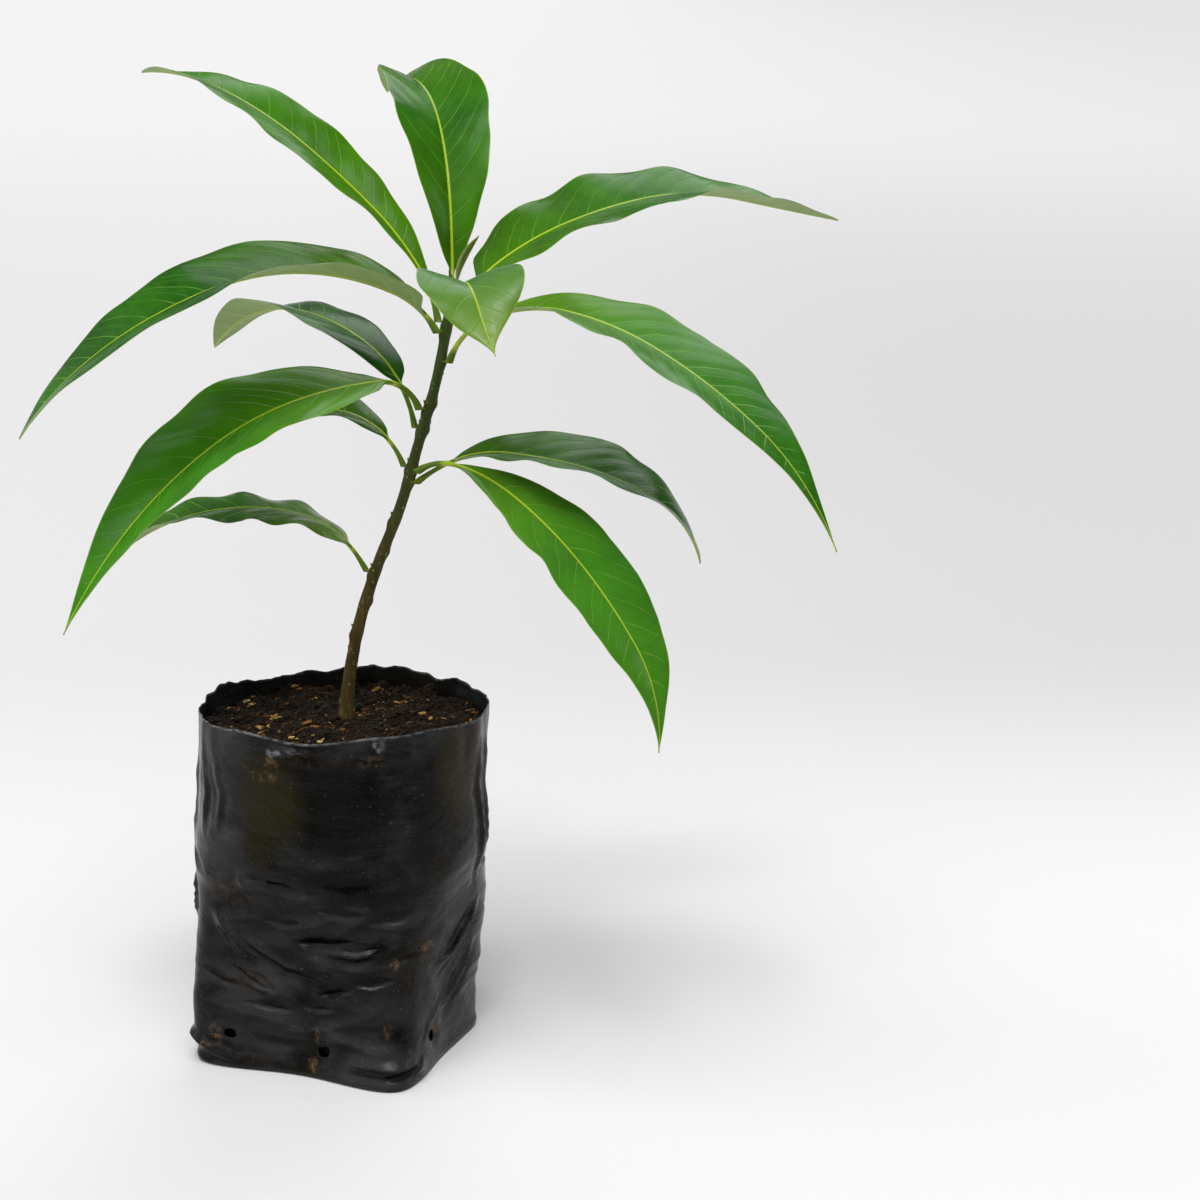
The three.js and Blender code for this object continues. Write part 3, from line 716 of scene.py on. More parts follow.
def spots(tree, size, stretch=(1, 1, 1), detail=3.0, roughness=0.55):
    """Soft noise from 0 to 1 with waves of that size in millimetres, drawn out by stretch."""
    place = add_node(tree, "ShaderNodeTexCoord", {}).outputs["Object"]
    scale = tuple(1 / (size * MM * reach) for reach in stretch)
    place = add_node(tree, "ShaderNodeVectorMath", {0: place, 1: scale}, operation="MULTIPLY").outputs[0]
    inputs = {"Vector": place, "Scale": 1.0, "Detail": detail, "Roughness": roughness}
    return add_node(tree, "ShaderNodeTexNoise", inputs).outputs[0]


def cell_walls(tree, size):
    """Distance to the walls of a net of cells of that size in millimetres."""
    place = add_node(tree, "ShaderNodeTexCoord", {}).outputs["Object"]
    inputs = {"Vector": place, "Scale": 1 / (size * MM)}
    made = add_node(tree, "ShaderNodeTexVoronoi", inputs, feature="DISTANCE_TO_EDGE")
    return made.outputs["Distance"]


def kept_marks(tree, name):
    """Three numbers kept on the piece's points under one name."""
    made = add_node(tree, "ShaderNodeAttribute", {}, attribute_name=name)
    parts = add_node(tree, "ShaderNodeSeparateXYZ", {0: made.outputs["Vector"]}).outputs
    return parts[0], parts[1], parts[2]


def kept_number(tree, name):
    return add_node(tree, "ShaderNodeAttribute", {}, attribute_name=name).outputs["Fac"]


def relief(tree, height, depth):
    """Surface relief of that depth in millimetres."""
    inputs = {"Strength": 1.0, "Distance": depth * MM, "Height": height}
    return add_node(tree, "ShaderNodeBump", inputs).outputs[0]


def new_material(name, **numbers):
    material = bpy.data.materials.new(name)
    material.use_nodes = True
    tree = material.node_tree
    shader = tree.nodes["Principled BSDF"]
    for socket, value in numbers.items():
        shader.inputs[socket.replace("_", " ")].default_value = value
    return material, tree, shader


def join_looks(tree, shader, colour, gloss, height=None, depth=0):
    """Gives the shader its colour, its roughness and its relief of that depth in millimetres."""
    tree.links.new(colour, shader.inputs["Base Color"])
    tree.links.new(gloss, shader.inputs["Roughness"])
    if height is not None:
        tree.links.new(relief(tree, height, depth), shader.inputs["Normal"])


# Materials


def vein_line(tree, count, half, core):
    """1 on a line at the middle of each count, of that half width and with that solid core."""
    off = calc(tree, "ABSOLUTE", minus(tree, calc(tree, "FRACT", count), 0.5))
    return ramp(tree, off, half, core)


def vein_lines(tree, along_blade, across):
    """1 on the side veins, which leave the midrib in turn and sweep towards the tip."""
    side = calc(tree, "ABSOLUTE", across)
    sweep = plus(tree, times(tree, side, VEIN_CURVE), VEIN_SWEEP)
    start = minus(tree, along_blade, times(tree, side, sweep))
    wander = times(tree, minus(tree, spots(tree, 16, detail=1.0), 0.5), VEIN_WANDER)
    count = calc(tree, "DIVIDE", plus(tree, start, wander), VEIN_SPACING)
    count = plus(tree, count, times(tree, calc(tree, "GREATER_THAN", across, 0.0), 0.5))
    main = vein_line(tree, count, 0.04, 0.008)
    weak = times(tree, vein_line(tree, plus(tree, count, 0.5), 0.03, 0.006), WEAK_VEIN)
    return calc(tree, "MAXIMUM", main, weak)


def stalk_green(tree, colour, along_blade):
    """Turns a leaf's colour into its stalk's at the foot of the blade."""
    green = colour_mix(tree, spots(tree, 3), STALK_DARK, STALK_LIGHT)
    return tinted(tree, colour, ramp(tree, along_blade, 1.0, -3.0), green)


def leaf_top():
    material, tree, shader = new_material("leaf_top", Specular_IOR_Level=0.14)
    along_blade, across, share = kept_marks(tree, "leaf_place")
    fresh, grey_and_sheen, yellow = kept_marks(tree, "leaf_tone")
    edge = kept_number(tree, "leaf_edge")
    veins = vein_lines(tree, along_blade, across)
    veins = times(tree, veins, ramp(tree, edge, 0.6, 4.0))
    veins = times(tree, veins, ramp(tree, spots(tree, 14), 0.25, 0.6))
    fresh = plus(tree, fresh, times(tree, minus(tree, spots(tree, 16), 0.5), FRESH_PATCHES))
    colour = colour_mix(tree, fresh, LEAF_DEEP, LEAF_FRESH)
    # The grey tone paints sheen on parts of the blade, as well as a dull grey
    colour = tinted(tree, colour, grey_and_sheen, LEAF_GREY_SHEEN)
    colour = tinted(tree, colour, yellow, LEAF_YELLOW)
    colour = tinted(tree, colour, ramp(tree, spots(tree, 1.6, detail=4.0), 0.35, 0.75), LEAF_MOTTLE, 0.14)
    colour = tinted(tree, colour, veins, TOP_VEIN, 0.5)
    rib = calc(tree, "DIVIDE", calc(tree, "ABSOLUTE", across), between(tree, share, 0.8, 0.26))
    rib = times(tree, ramp(tree, rib, 1.0, 0.45), between(tree, share, 1.0, 0.6))
    colour = tinted(tree, colour, rib, TOP_MIDRIB)
    margin = times(tree, ramp(tree, edge, 0.55, 0.1), ramp(tree, share, 0.0, 0.1))
    colour = tinted(tree, colour, margin, TOP_MARGIN, 0.6)
    colour = stalk_green(tree, colour, along_blade)
    gloss = between(tree, spots(tree, 5, detail=4.0), 0.17, 0.32)
    gloss = plus(tree, gloss, times(tree, veins, 0.08))
    height = times(tree, cell_walls(tree, 1.3), 0.2)
    height = plus(tree, height, times(tree, veins, -0.7))
    height = plus(tree, height, times(tree, rib, 0.8))
    join_looks(tree, shader, colour, gloss, height, 0.2)
    return material


def leaf_underside():
    material, tree, shader = new_material("leaf_underside", Specular_IOR_Level=0.2)
    along_blade, across, share = kept_marks(tree, "leaf_place")
    _, grey_and_sheen, yellow = kept_marks(tree, "leaf_tone")
    edge = kept_number(tree, "leaf_edge")
    veins = times(tree, vein_lines(tree, along_blade, across), ramp(tree, edge, 0.6, 4.0))
    net = ramp(tree, cell_walls(tree, 1.1), 0.12, 0.02)
    rib = calc(tree, "DIVIDE", calc(tree, "ABSOLUTE", across), between(tree, share, 1.5, 0.5))
    # Paler underside with painted glow of light shining through the blade
    colour = colour_mix(tree, spots(tree, 15), UNDERSIDE_DULL_GLOW, UNDERSIDE_PALE_GLOW)
    colour = tinted(tree, colour, grey_and_sheen, UNDERSIDE_GREY, 0.6)
    colour = tinted(tree, colour, yellow, UNDERSIDE_YELLOW, 0.6)
    colour = tinted(tree, colour, net, UNDERSIDE_NET, 0.18)
    colour = tinted(tree, colour, veins, UNDERSIDE_VEIN, 0.8)
    colour = tinted(tree, colour, ramp(tree, rib, 1.0, 0.5), UNDERSIDE_MIDRIB)
    colour = stalk_green(tree, colour, along_blade)
    height = plus(tree, times(tree, veins, 0.8), times(tree, net, 0.15))
    join_looks(tree, shader, colour, between(tree, spots(tree, 4), 0.5, 0.68), height, 0.16)
    return material


def young_leaf_skin():
    material, tree, shader = new_material("young_leaf_skin", Coat_Weight=0.1)
    colour = colour_mix(tree, spots(tree, 5), YOUNG_OLIVE, YOUNG_GREEN)
    across = calc(tree, "ABSOLUTE", kept_marks(tree, "leaf_place")[1])
    colour = tinted(tree, colour, ramp(tree, across, 0.5, 0.15), YOUNG_MIDRIB)
    gloss = between(tree, spots(tree, 1.5), 0.35, 0.55)
    join_looks(tree, shader, colour, gloss, spots(tree, 0.6), 0.08)
    return material


def stem_bark():
    material, tree, shader = new_material("stem_bark", Specular_IOR_Level=0.25)
    young = kept_number(tree, "stem_age")
    streaks = spots(tree, 1.1, stretch=(1, 1, 7), detail=5.0)
    patches = spots(tree, 5, stretch=(1, 1, 2.5), detail=4.0)
    old = colour_mix(tree, patches, BARK_DARK, BARK_BROWN)
    old = tinted(tree, old, ramp(tree, streaks, 0.5, 0.85), BARK_STREAK)
    green = colour_mix(tree, patches, BARK_DARK_GREEN, BARK_GREEN)
    green = tinted(tree, green, ramp(tree, streaks, 0.6, 0.9), BARK_GREEN_STREAK)
    colour = colour_mix(tree, young, old, green)
    height = plus(tree, streaks, times(tree, spots(tree, 0.5, detail=2.0), 0.35))
    join_looks(tree, shader, colour, between(tree, young, 0.82, 0.55), height, 0.25)
    return material


def lenticel_cork():
    material, tree, shader = new_material("lenticel_cork", Specular_IOR_Level=0.3)
    colour = colour_mix(tree, spots(tree, 1), CORK_BROWN, CORK_PALE)
    join_looks(tree, shader, colour, between(tree, spots(tree, 0.5), 0.7, 0.9))
    return material


def bud_scales():
    material, tree, shader = new_material("bud_scales", Specular_IOR_Level=0.4)
    colour = colour_mix(tree, spots(tree, 1.2), BUD_DARK, BUD_OLIVE)
    gloss = between(tree, spots(tree, 0.6), 0.5, 0.75)
    join_looks(tree, shader, colour, gloss, spots(tree, 0.4), 0.1)
    return material


def black_film():
    material, tree, shader = new_material("black_film", Specular_IOR_Level=0.08)
    wet_and_shade, mud, olive = kept_marks(tree, "film_marks")
    dust_shade_highlight = kept_number(tree, "film_dust_shade_highlight")
    # The wet mark keeps haze off the film: wet film, and painted shade on the right side
    dry = minus(tree, 1.0, times(tree, wet_and_shade, 0.9))
    # Less haze where the dust mark is low: dust, and painted shade on slopes that look down
    dry = times(tree, dry, calc(tree, "MINIMUM", dust_shade_highlight, 1.0))
    haze = ramp(tree, spots(tree, 20, stretch=(1, 1, 0.7), detail=5.0), 0.32, 0.6)
    colour = colour_mix(tree, times(tree, haze, dry), FILM_BLACK, FILM_HAZE)
    colour = tinted(tree, colour, olive, FILM_OLIVE, 0.75)
    scuffs = ramp(tree, spots(tree, 2.5, stretch=(2.5, 2.5, 0.6), detail=6.0, roughness=0.7), 0.55, 0.8)
    colour = tinted(tree, colour, times(tree, scuffs, dry), FILM_SCUFF, 0.18)
    smears = ramp(tree, spots(tree, 9, stretch=(1.6, 1.6, 0.5), detail=7.0, roughness=0.65), 0.5, 0.72)
    colour = tinted(tree, colour, times(tree, smears, dry), FILM_SMEAR, 0.3)
    # Painted highlights near the rim, where the mark is over 1
    patchy = ramp(tree, spots(tree, 1.4, stretch=(1.5, 1.5, 0.8), detail=4.0), 0.35, 0.65)
    colour = tinted(tree, colour, times(tree, ramp(tree, dust_shade_highlight, 1.1, 2.0), patchy), FILM_PAINTED_HIGHLIGHT)
    colour = tinted(tree, colour, ramp(tree, spots(tree, 0.9, detail=2.0), 0.68, 0.75), FILM_SPECK, 0.45)
    grit = ramp(tree, spots(tree, 2.2, detail=6.0, roughness=0.75), 0.42, 0.62)
    dirt = times(tree, mud, grit)
    colour = tinted(tree, colour, dirt, DRY_MUD)
    gloss = between(tree, spots(tree, 7, detail=5.0, roughness=0.6), 0.09, 0.33)
    gloss = plus(tree, gloss, times(tree, dirt, 0.35))
    crinkle = calc(tree, "ABSOLUTE", minus(tree, spots(tree, 9, stretch=(1.6, 1.6, 0.55)), 0.5))
    height = times(tree, ramp(tree, crinkle, 0.06, 0.0), 0.12)
    height = plus(tree, height, spots(tree, 5, stretch=(1.6, 1.6, 0.8), detail=2.0))
    height = plus(tree, height, times(tree, dirt, 0.4))
    join_looks(tree, shader, colour, gloss, height, 0.32)
    return material


def damp_mix():
    material, tree, shader = new_material("damp_mix", Specular_IOR_Level=0.12)
    shades = ramp(tree, spots(tree, 2.2, detail=7.0, roughness=0.75), 0.3, 0.75)
    colour = colour_mix(tree, shades, SOIL_BLACK, SOIL_BROWN)
    colour = tinted(tree, colour, ramp(tree, spots(tree, 1.1, detail=4.0), 0.64, 0.74), SOIL_CHIP, 0.5)
    gloss = between(tree, spots(tree, 1.5), 0.65, 0.95)
    join_looks(tree, shader, colour, gloss, spots(tree, 1.0, detail=6.0, roughness=0.75), 1.0)
    return material


def crumb_brown():
    material, tree, shader = new_material("crumb_brown", Specular_IOR_Level=0.15)
    shades = add_node(tree, "ShaderNodeValToRGB", {0: kept_number(tree, "tone")})
    while len(shades.color_ramp.elements) < len(CRUMB_TONES):
        shades.color_ramp.elements.new(0.5)
    for element, (place, colour) in zip(shades.color_ramp.elements, CRUMB_TONES):
        element.position = place
        element.color = (*colour, 1)
    darker = ramp(tree, spots(tree, 0.9, detail=4.0), 0.35, 0.7)
    colour = tinted(tree, shades.outputs[0], darker, CRUMB_SHADE, 0.45)
    gloss = between(tree, spots(tree, 1.2), 0.6, 0.92)
    join_looks(tree, shader, colour, gloss, spots(tree, 0.7, detail=4.0), 0.3)
    return material


def pale_floor():
    """A pale sheet that ends in front of the plant, where the floor is darker. Behind the plant and far to
    the right it has painted shade.
    """
    material, tree, shader = new_material("pale_floor", Roughness=0.7, Specular_IOR_Level=0.2)
    place = add_node(tree, "ShaderNodeTexCoord", {}).outputs["Object"]
    x, y, _ = add_node(tree, "ShaderNodeSeparateXYZ", {0: place}).outputs
    behind = times(tree, ramp(tree, y, 0.1, 0.6), ramp(tree, y, 6.0, 1.0))
    # Painted shade in a band behind the plant, deeper to the right
    backdrop_shade = times(tree, behind, between(tree, ramp(tree, x, -0.4, 0.5), 0.45, 1.0))
    colour = colour_mix(tree, backdrop_shade, FLOOR_PALE, FLOOR_SHADE)
    # Painted shade far off to the right
    far_right_shade = times(tree, ramp(tree, x, -1.0, 3.0), ramp(tree, y, 1.0, 6.0))
    colour = tinted(tree, colour, far_right_shade, FLOOR_FAR_SHADE)
    colour = tinted(tree, colour, ramp(tree, y, -0.24, -0.52), FLOOR_DARK)
    tree.links.new(colour, shader.inputs["Base Color"])
    return material


# The bag


def bag_radius(angle, z):
    """The bag's outline: a rounded square at its foot that turns round towards the rim."""
    power = mix(SQUARE_POWER, ROUND_POWER, smooth(z / BAG_SQUARE_HEIGHT))
    turned = angle - math.radians(BAG_CORNER_TURN)
    reach = BAG_RADIUS
    for corner in BAG_CORNERS:
        facing = max(math.cos(turned - math.radians(corner["turn"])), 0)
        reach += corner["reach"] * facing**CORNER_SHARPNESS * (1 - smooth(z / corner["height"]))
    c = abs(math.cos(turned + math.pi / 4))
    s = abs(math.sin(turned + math.pi / 4))
    return reach * math.sqrt(0.5) * 2 ** (1 / power) / (c**power + s**power) ** (1 / power)


def rim_height(angle):
    height = BAG_HEIGHT
    for wave in RIM_WAVES:
        height += wave["height"] * math.sin(wave["count"] * angle + wave["shift"])
    return height


def back_share(angle):
    """0 at the bag's front, 1 at its back."""
    return smooth(0.5 + 0.7 * math.sin(angle))


def around_gap(first, second):
    """Distance round the bag between two angles in degrees."""
    turn = (first - second + 180) % 360 - 180
    return math.radians(turn) * BAG_RADIUS


def distance_to_path(angle, z, path):
    """Distance on the bag's side to a path, whether over it, and how far along it the nearest place is."""
    nearest = (math.inf, False, 0)
    for index in range(len(path) - 1):
        ax = around_gap(path[index][0], angle)
        az = path[index][1] - z
        run_x = around_gap(path[index + 1][0], path[index][0])
        run_z = path[index + 1][1] - path[index][1]
        share = -(ax * run_x + az * run_z) / (run_x**2 + run_z**2)
        share = min(max(share, 0), 1)
        distance = math.hypot(ax + run_x * share, az + run_z * share)
        over = (run_z * ax - run_x * az) * math.copysign(1, run_x) > 0
        nearest = min(nearest, (distance, over, (index + share) / (len(path) - 1)))
    return nearest


def fold_relief(angle, z):
    """Folds with a crisp crest that die away at both ends, each with a shallow valley under it."""
    total = 0
    for rise, reach_over, reach_under, path in FOLDS:
        distance, over, share = distance_to_path(angle, z, path)
        reach = reach_over if over else reach_under
        if distance < FOLD_REACHES * reach:
            ends = smooth(share / FOLD_END) * smooth((1 - share) / FOLD_END)
            height = max(1 - distance / reach, 0) ** CREST_POWER
            if not over:
                height -= VALLEY_DEPTH * bump(distance - VALLEY_PLACE * reach, VALLEY_WIDTH * reach)
            total += FOLD_STRENGTH * rise * ends * height
    return total


def dent_relief(angle, z):
    """Dents with a flat face that looks down and a steep lip under it."""
    total = 0
    for turn, height, half, high, depth, slant in DENTS:
        across = around_gap(angle, turn)
        fullness = 1 - (across / half) ** 2
        if fullness > 0:
            up = (z - height + slant * across) / (high * fullness)
            push = min((1 - up) / DENT_FACE, (1 + up) / DENT_LIP)
            total -= DENT_STRENGTH * depth * fullness * max(push, 0)
    return total


def film_relief(angle, z):
    """How far the film stands out from the plain bag."""
    spot = heading_vector(angle) * BAG_RADIUS
    turn = math.degrees(angle)
    calm = CALM_SHARE + (1 - CALM_SHARE) * rising(z, *CRUMPLE_STRETCH) * (1 - rising(z, *CRUMPLE_FADE))
    total = SWELL_RISE * side_noise(spot, z, *SWELL_SIZE)
    for crumple in CRUMPLES:
        drop = crumple["slant"] * (spot.x + 0.3 * spot.y)
        wave = side_noise(spot, z + drop, crumple["width"], crumple["high"])
        total += crumple["rise"] * calm * (CRUMPLE_MIDDLE - abs(wave))
    pleat = mix(PLEAT_FRONT, PLEAT_BACK, back_share(angle)) * side_noise(spot, z, *PLEAT_SIZE)
    total += pleat * rising(z, *PLEAT_STRETCH)
    corner = bump(around_gap(turn, FRONT_CORNER), CORNER_WIDTH) * rising(z, *CORNER_STRETCH)
    corner *= 1 - rising(z, *CORNER_FADE)
    total -= CORNER_BLUNTING * corner
    total += fold_relief(turn, z) + dent_relief(turn, z)
    return total * smooth(z / FOOT_CALM)


def film_marks(angle, z):
    """Wetness (painted shade on the right side), mud, olive tint and painted highlight of the film at a
    place.
    """
    strengths = [0, FOOT_MUD * (1 - smooth(z / FOOT_MUD_HEIGHT)), 0, 0]
    for turn, height, across, high, *kinds in FILM_MARKS:
        off = math.hypot(around_gap(turn, math.degrees(angle)) / across, (z - height) / high)
        share = smooth(MARK_SOFTNESS - off)
        strengths = [max(strength, kind * share) for strength, kind in zip(strengths, kinds)]
    return strengths


def drain_lines():
    """Each hole as a point on its line and the way it faces. Each has one opposite it."""
    lines = []
    for drain in DRAINS:
        facing = heading_vector(math.radians(drain["facing"]))
        across = Vector((-facing.y, facing.x, 0))
        start = across * drain["offset"] + Vector((0, 0, drain["height"]))
        lines.append((start, facing))
        lines.append((start, -facing))
    return lines


def off_line(point, start, facing):
    """Offset of a point from a hole's middle line, or None on the other side of the bag."""
    reach = (point - start).dot(facing)
    return point - start - facing * reach if reach > 0 else None


def hole_reach(offset):
    """Distance from a hole's middle, counted so that its squashed outline is a circle."""
    return math.hypot(offset.x, offset.y, offset.z / DRAIN_SQUASH)


def punch_drains(mesh):
    """Holes with ragged rims."""
    for start, facing in drain_lines():
        inside = []
        for face in mesh.faces:
            offset = off_line(face.calc_center_median(), start, facing)
            if offset is not None and hole_reach(offset) < DRAIN_RADIUS:
                inside.append(face)
        bmesh.ops.delete(mesh, geom=inside, context="FACES")
        for vert in mesh.verts:
            offset = off_line(vert.co, start, facing)
            if vert.is_boundary and offset is not None and hole_reach(offset) < 2 * DRAIN_RADIUS:
                ragged = 1 + DRAIN_RAGGEDNESS * noise.noise(vert.co * 0.9)
                vert.co += offset * (ragged * DRAIN_RADIUS / hole_reach(offset) - 1)


def drain_pucker(point):
    """The film is pushed in a little round each drain hole."""
    push = 0
    for start, facing in drain_lines():
        offset = off_line(point, start, facing)
        if offset is not None:
            push -= DRAIN_PUCKER * bump(offset.length - DRAIN_RADIUS, DRAIN_PUCKER_REACH)
    return push


def bag_sections():
    """Height, share of the reach and inset of each ring, from the middle of the underside to the rim."""
    sections = [(0.0, row / BAG_BASE_ROWS, 0) for row in range(BAG_BASE_ROWS)]
    for row in range(BAG_ROUND_ROWS):
        turn = math.pi / 2 * row / BAG_ROUND_ROWS
        height = BAG_FOOT_ROUNDING * (1 - math.cos(turn))
        sections.append((height, 1, BAG_FOOT_ROUNDING * (1 - math.sin(turn))))
    z = BAG_FOOT_ROUNDING
    for top, step in BAG_ROW_STEPS:
        while z < top - step / 2:
            sections.append((z, 1, 0))
            z += step
    sections.append((BAG_HEIGHT, 1, 0))
    return sections


def bag_angles():
    """The bag's columns, closer together on its front."""
    return [math.pi / 2 - turn - FRONT_CROWDING * math.sin(turn) for turn in turns(BAG_COLUMNS)]


def rim_damage(point, angle, kind):
    """How far a nick or a tear moves the rim up or down."""
    return kind["rise"] * noise.noise(point / kind["width"]) * mix(kind["front"], 1, back_share(angle))


def bag_point(angle, z, share, inset, stand):
    """A point of the film. Towards the rim it follows the rim's waves, nicks and tears."""
    outward = heading_vector(angle)
    reach = (bag_radius(angle, z) - inset) * share
    if share < 1:
        reach = (bag_radius(angle, 0) - BAG_FOOT_ROUNDING) * share
    point = outward * reach + Vector((0, 0, z))
    point += outward * (stand + drain_pucker(point))
    damage = rim_damage(point, angle, RIM_NICK) + rim_damage(point, angle, RIM_TEAR)
    wave = rising(z, *RIM_WAVE_STRETCH) * (rim_height(angle) - BAG_HEIGHT)
    point.z += wave + rising(z, *RIM_STRETCH) * damage
    return point


def dust_and_slope_shade(stands, heights, row, column):
    """Dust, with painted shade: the haze lies on the slopes that look up and leaves the ones that look down
    dark.
    """
    last = min(row + 1, len(stands) - 1)
    first = max(row - 1, 0)
    rise = heights[last] - heights[first]
    slope = (stands[last][column] - stands[first][column]) / rise if rise > 0 else 0
    return smooth(DUST_ON_UPRIGHT - SLOPE_SHADE * slope)


def build_bag():
    sections = bag_sections()
    angles = bag_angles()
    heights = [section[0] for section in sections]
    stands = [[film_relief(angle, z) if share == 1 else 0 for angle in angles] for z, share, _ in sections]
    rings = []
    marks = {"film_marks": [], "film_dust_shade_highlight": []}
    for row, (z, share, inset) in enumerate(sections):
        # A thin painted highlight along the rim's edge
        edge = smooth((z - BAG_HEIGHT + 2 * RIM_HIGHLIGHT_WIDTH) / RIM_HIGHLIGHT_WIDTH)
        ring = []
        kinds = []
        dust_shade_highlights = []
        for column, angle in enumerate(angles):
            *kind, pale = film_marks(angle, z)
            ring.append(bag_point(angle, z, share, inset, stands[row][column]))
            kinds.append(Vector(kind))
            # Dust with painted shade on slopes that look down, and painted highlights near the rim
            dust_shade_highlights.append(dust_and_slope_shade(stands, heights, row, column) + max(pale, edge))
        rings.append(ring)
        marks["film_marks"].append(kinds)
        marks["film_dust_shade_highlight"].append(dust_shade_highlights)
    mesh = bmesh.new()
    skin(mesh, rings, marks)
    punch_drains(mesh)
    finish_evenly(mesh)
    bag = make_piece(mesh, "bag_film", [black_film()], ["bag"])
    wall = bag.modifiers.new("wall", "SOLIDIFY")
    wall.thickness = FILM * MM
    wall.offset = -1


# The potting mix


def soil_top(x, y):
    from_stem = math.hypot(x - STEM_FOOT_X, y)
    lumpiness = smooth((from_stem - SOIL_FLAT_RADIUS) / SOIL_FLAT_EDGE)
    height = SOIL_HEIGHT - SOIL_MOUND * smooth(from_stem / SOIL_MOUND_RADIUS)
    for wave in SOIL_WAVES:
        turn = x * wave["along_x"] + y * wave["along_y"] + wave["shift"]
        height += wave["height"] * math.sin(turn) * lumpiness
    return height


def soil_surface(x, y):
    """The soil's top with its lumps."""
    spot = Vector((x, y, 5.5))
    from_stem = math.hypot(x - STEM_FOOT_X, y)
    lumpiness = mix(SOIL_CALM, 1, rising(from_stem, SOIL_CALM_RADIUS, SOIL_CALM_EDGE))
    height = soil_top(x, y)
    for size, rise in SOIL_LUMPS:
        height += rise * lumpiness * noise.noise(spot / size)
    return height


def build_soil():
    angles = turns(SOIL_COLUMNS)
    middle = Vector((STEM_FOOT_X, 0, soil_surface(STEM_FOOT_X, 0)))
    rings = [point_ring(middle, SOIL_COLUMNS)]
    for row in range(1, SOIL_TOP_ROWS + 1):
        share = row / SOIL_TOP_ROWS
        dip = SOIL_EDGE_DIP * rising(share, *SOIL_EDGE_STRETCH)
        ring = []
        for angle in angles:
            edge = heading_vector(angle) * (bag_radius(angle, SOIL_HEIGHT) - SOIL_EDGE)
            x = mix(STEM_FOOT_X, edge.x, share)
            y = edge.y * share
            ring.append(Vector((x, y, soil_surface(x, y) - dip)))
        rings.append(ring)
    for z in SOIL_SIDE_HEIGHTS:
        level = Vector((0, 0, z))
        ring = []
        for angle in angles:
            reach = bag_radius(angle, z) - SOIL_INSET
            reach += SOIL_SIDE_LUMP * noise.noise(heading_vector(angle) * 6 + level)
            ring.append(heading_vector(angle) * reach + level)
        rings.append(ring)
    rings.append(point_ring((0, 0, SOIL_INSET), SOIL_COLUMNS))
    mesh = bmesh.new()
    skin(mesh, rings)
    face_outwards(mesh)
    make_piece(mesh, "soil_plug", [damp_mix()], ["soil"])


def soil_spot(rng):
    """A random place on the soil, evenly spread."""
    angle = rng.uniform(0, 2 * math.pi)
    reach = (bag_radius(angle, SOIL_HEIGHT) - CRUMB_EDGE) * math.sqrt(rng.random())
    return reach * math.cos(angle), reach * math.sin(angle)


def held_inside(x, y):
    """The place itself, or the nearest one that is clear of the bag's film."""
    angle = math.atan2(y, x)
    reach = min(math.hypot(x, y), bag_radius(angle, SOIL_HEIGHT) - FILM_CLEARANCE)
    return reach * math.cos(angle), reach * math.sin(angle)


def add_crumb(mesh, rng, place, size, tone, detail):
    """A rough lump, squashed and turned at random."""
    layer = mesh.verts.layers.float.get("tone") or mesh.verts.layers.float.new("tone")
    verts = bmesh.ops.create_icosphere(mesh, subdivisions=detail, radius=1)["verts"]
    stretch = Vector([value * rng.uniform(*CRUMB_STRETCHES) for value in size])
    turn = rng.uniform(0, math.pi)
    c = math.cos(turn)
    s = math.sin(turn)
    lean = CRUMB_LEAN * math.sin(rng.uniform(0, math.pi))
    middle = Vector(place)
    for vert in verts:
        co = vert.co * (1 + CRUMB_ROUGHNESS * noise.noise(vert.co * 1.3 + middle))
        co = Vector((co.x * stretch.x, co.y * stretch.y, co.z * stretch.z))
        co = Vector((co.x * c - co.y * s, co.x * s + co.y * c, co.z))
        co.z += lean * co.x * 0.6
        vert.co = middle + co
        vert[layer] = tone


def dark_tone(rng):
    """Mostly near black, now and then brown."""
    return DARK_TONE * rng.random() ** 1.6


def build_crumbs():
    rng = random.Random(7)
    brown = crumb_brown()
    for pile in range(CRUMB_PILES):
        mesh = bmesh.new()
        for _ in range(PILE_CRUMBS):
            x, y = soil_spot(rng)
            size = rng.uniform(*CRUMB_SIZES) * rng.uniform(*CRUMB_SCALES)
            dark = rng.random() < CRUMB_DARK_SHARE
            tone = dark_tone(rng) if dark else rng.uniform(*CRUMB_PALE_TONES)
            place = (x, y, soil_surface(x, y) + size * rng.uniform(*CRUMB_LIFTS))
            add_crumb(mesh, rng, place, (size, size, size * CRUMB_FLATNESS), tone, 1)
        make_piece(mesh, f"soil_crumbs_{pile + 1}", [brown])


def build_clods():
    rng = random.Random(13)
    mesh = bmesh.new()
    for _ in range(CLOD_COUNT):
        x, y = held_inside(*soil_spot(rng))
        size = rng.uniform(*CLOD_SIZES)
        place = (x, y, soil_surface(x, y) + size * CLOD_LIFT)
        tone = CLOD_TONE * dark_tone(rng)
        add_crumb(mesh, rng, place, (size, size, size * CLOD_FLATNESS), tone, 2)
    make_piece(mesh, "soil_clods", [crumb_brown()])


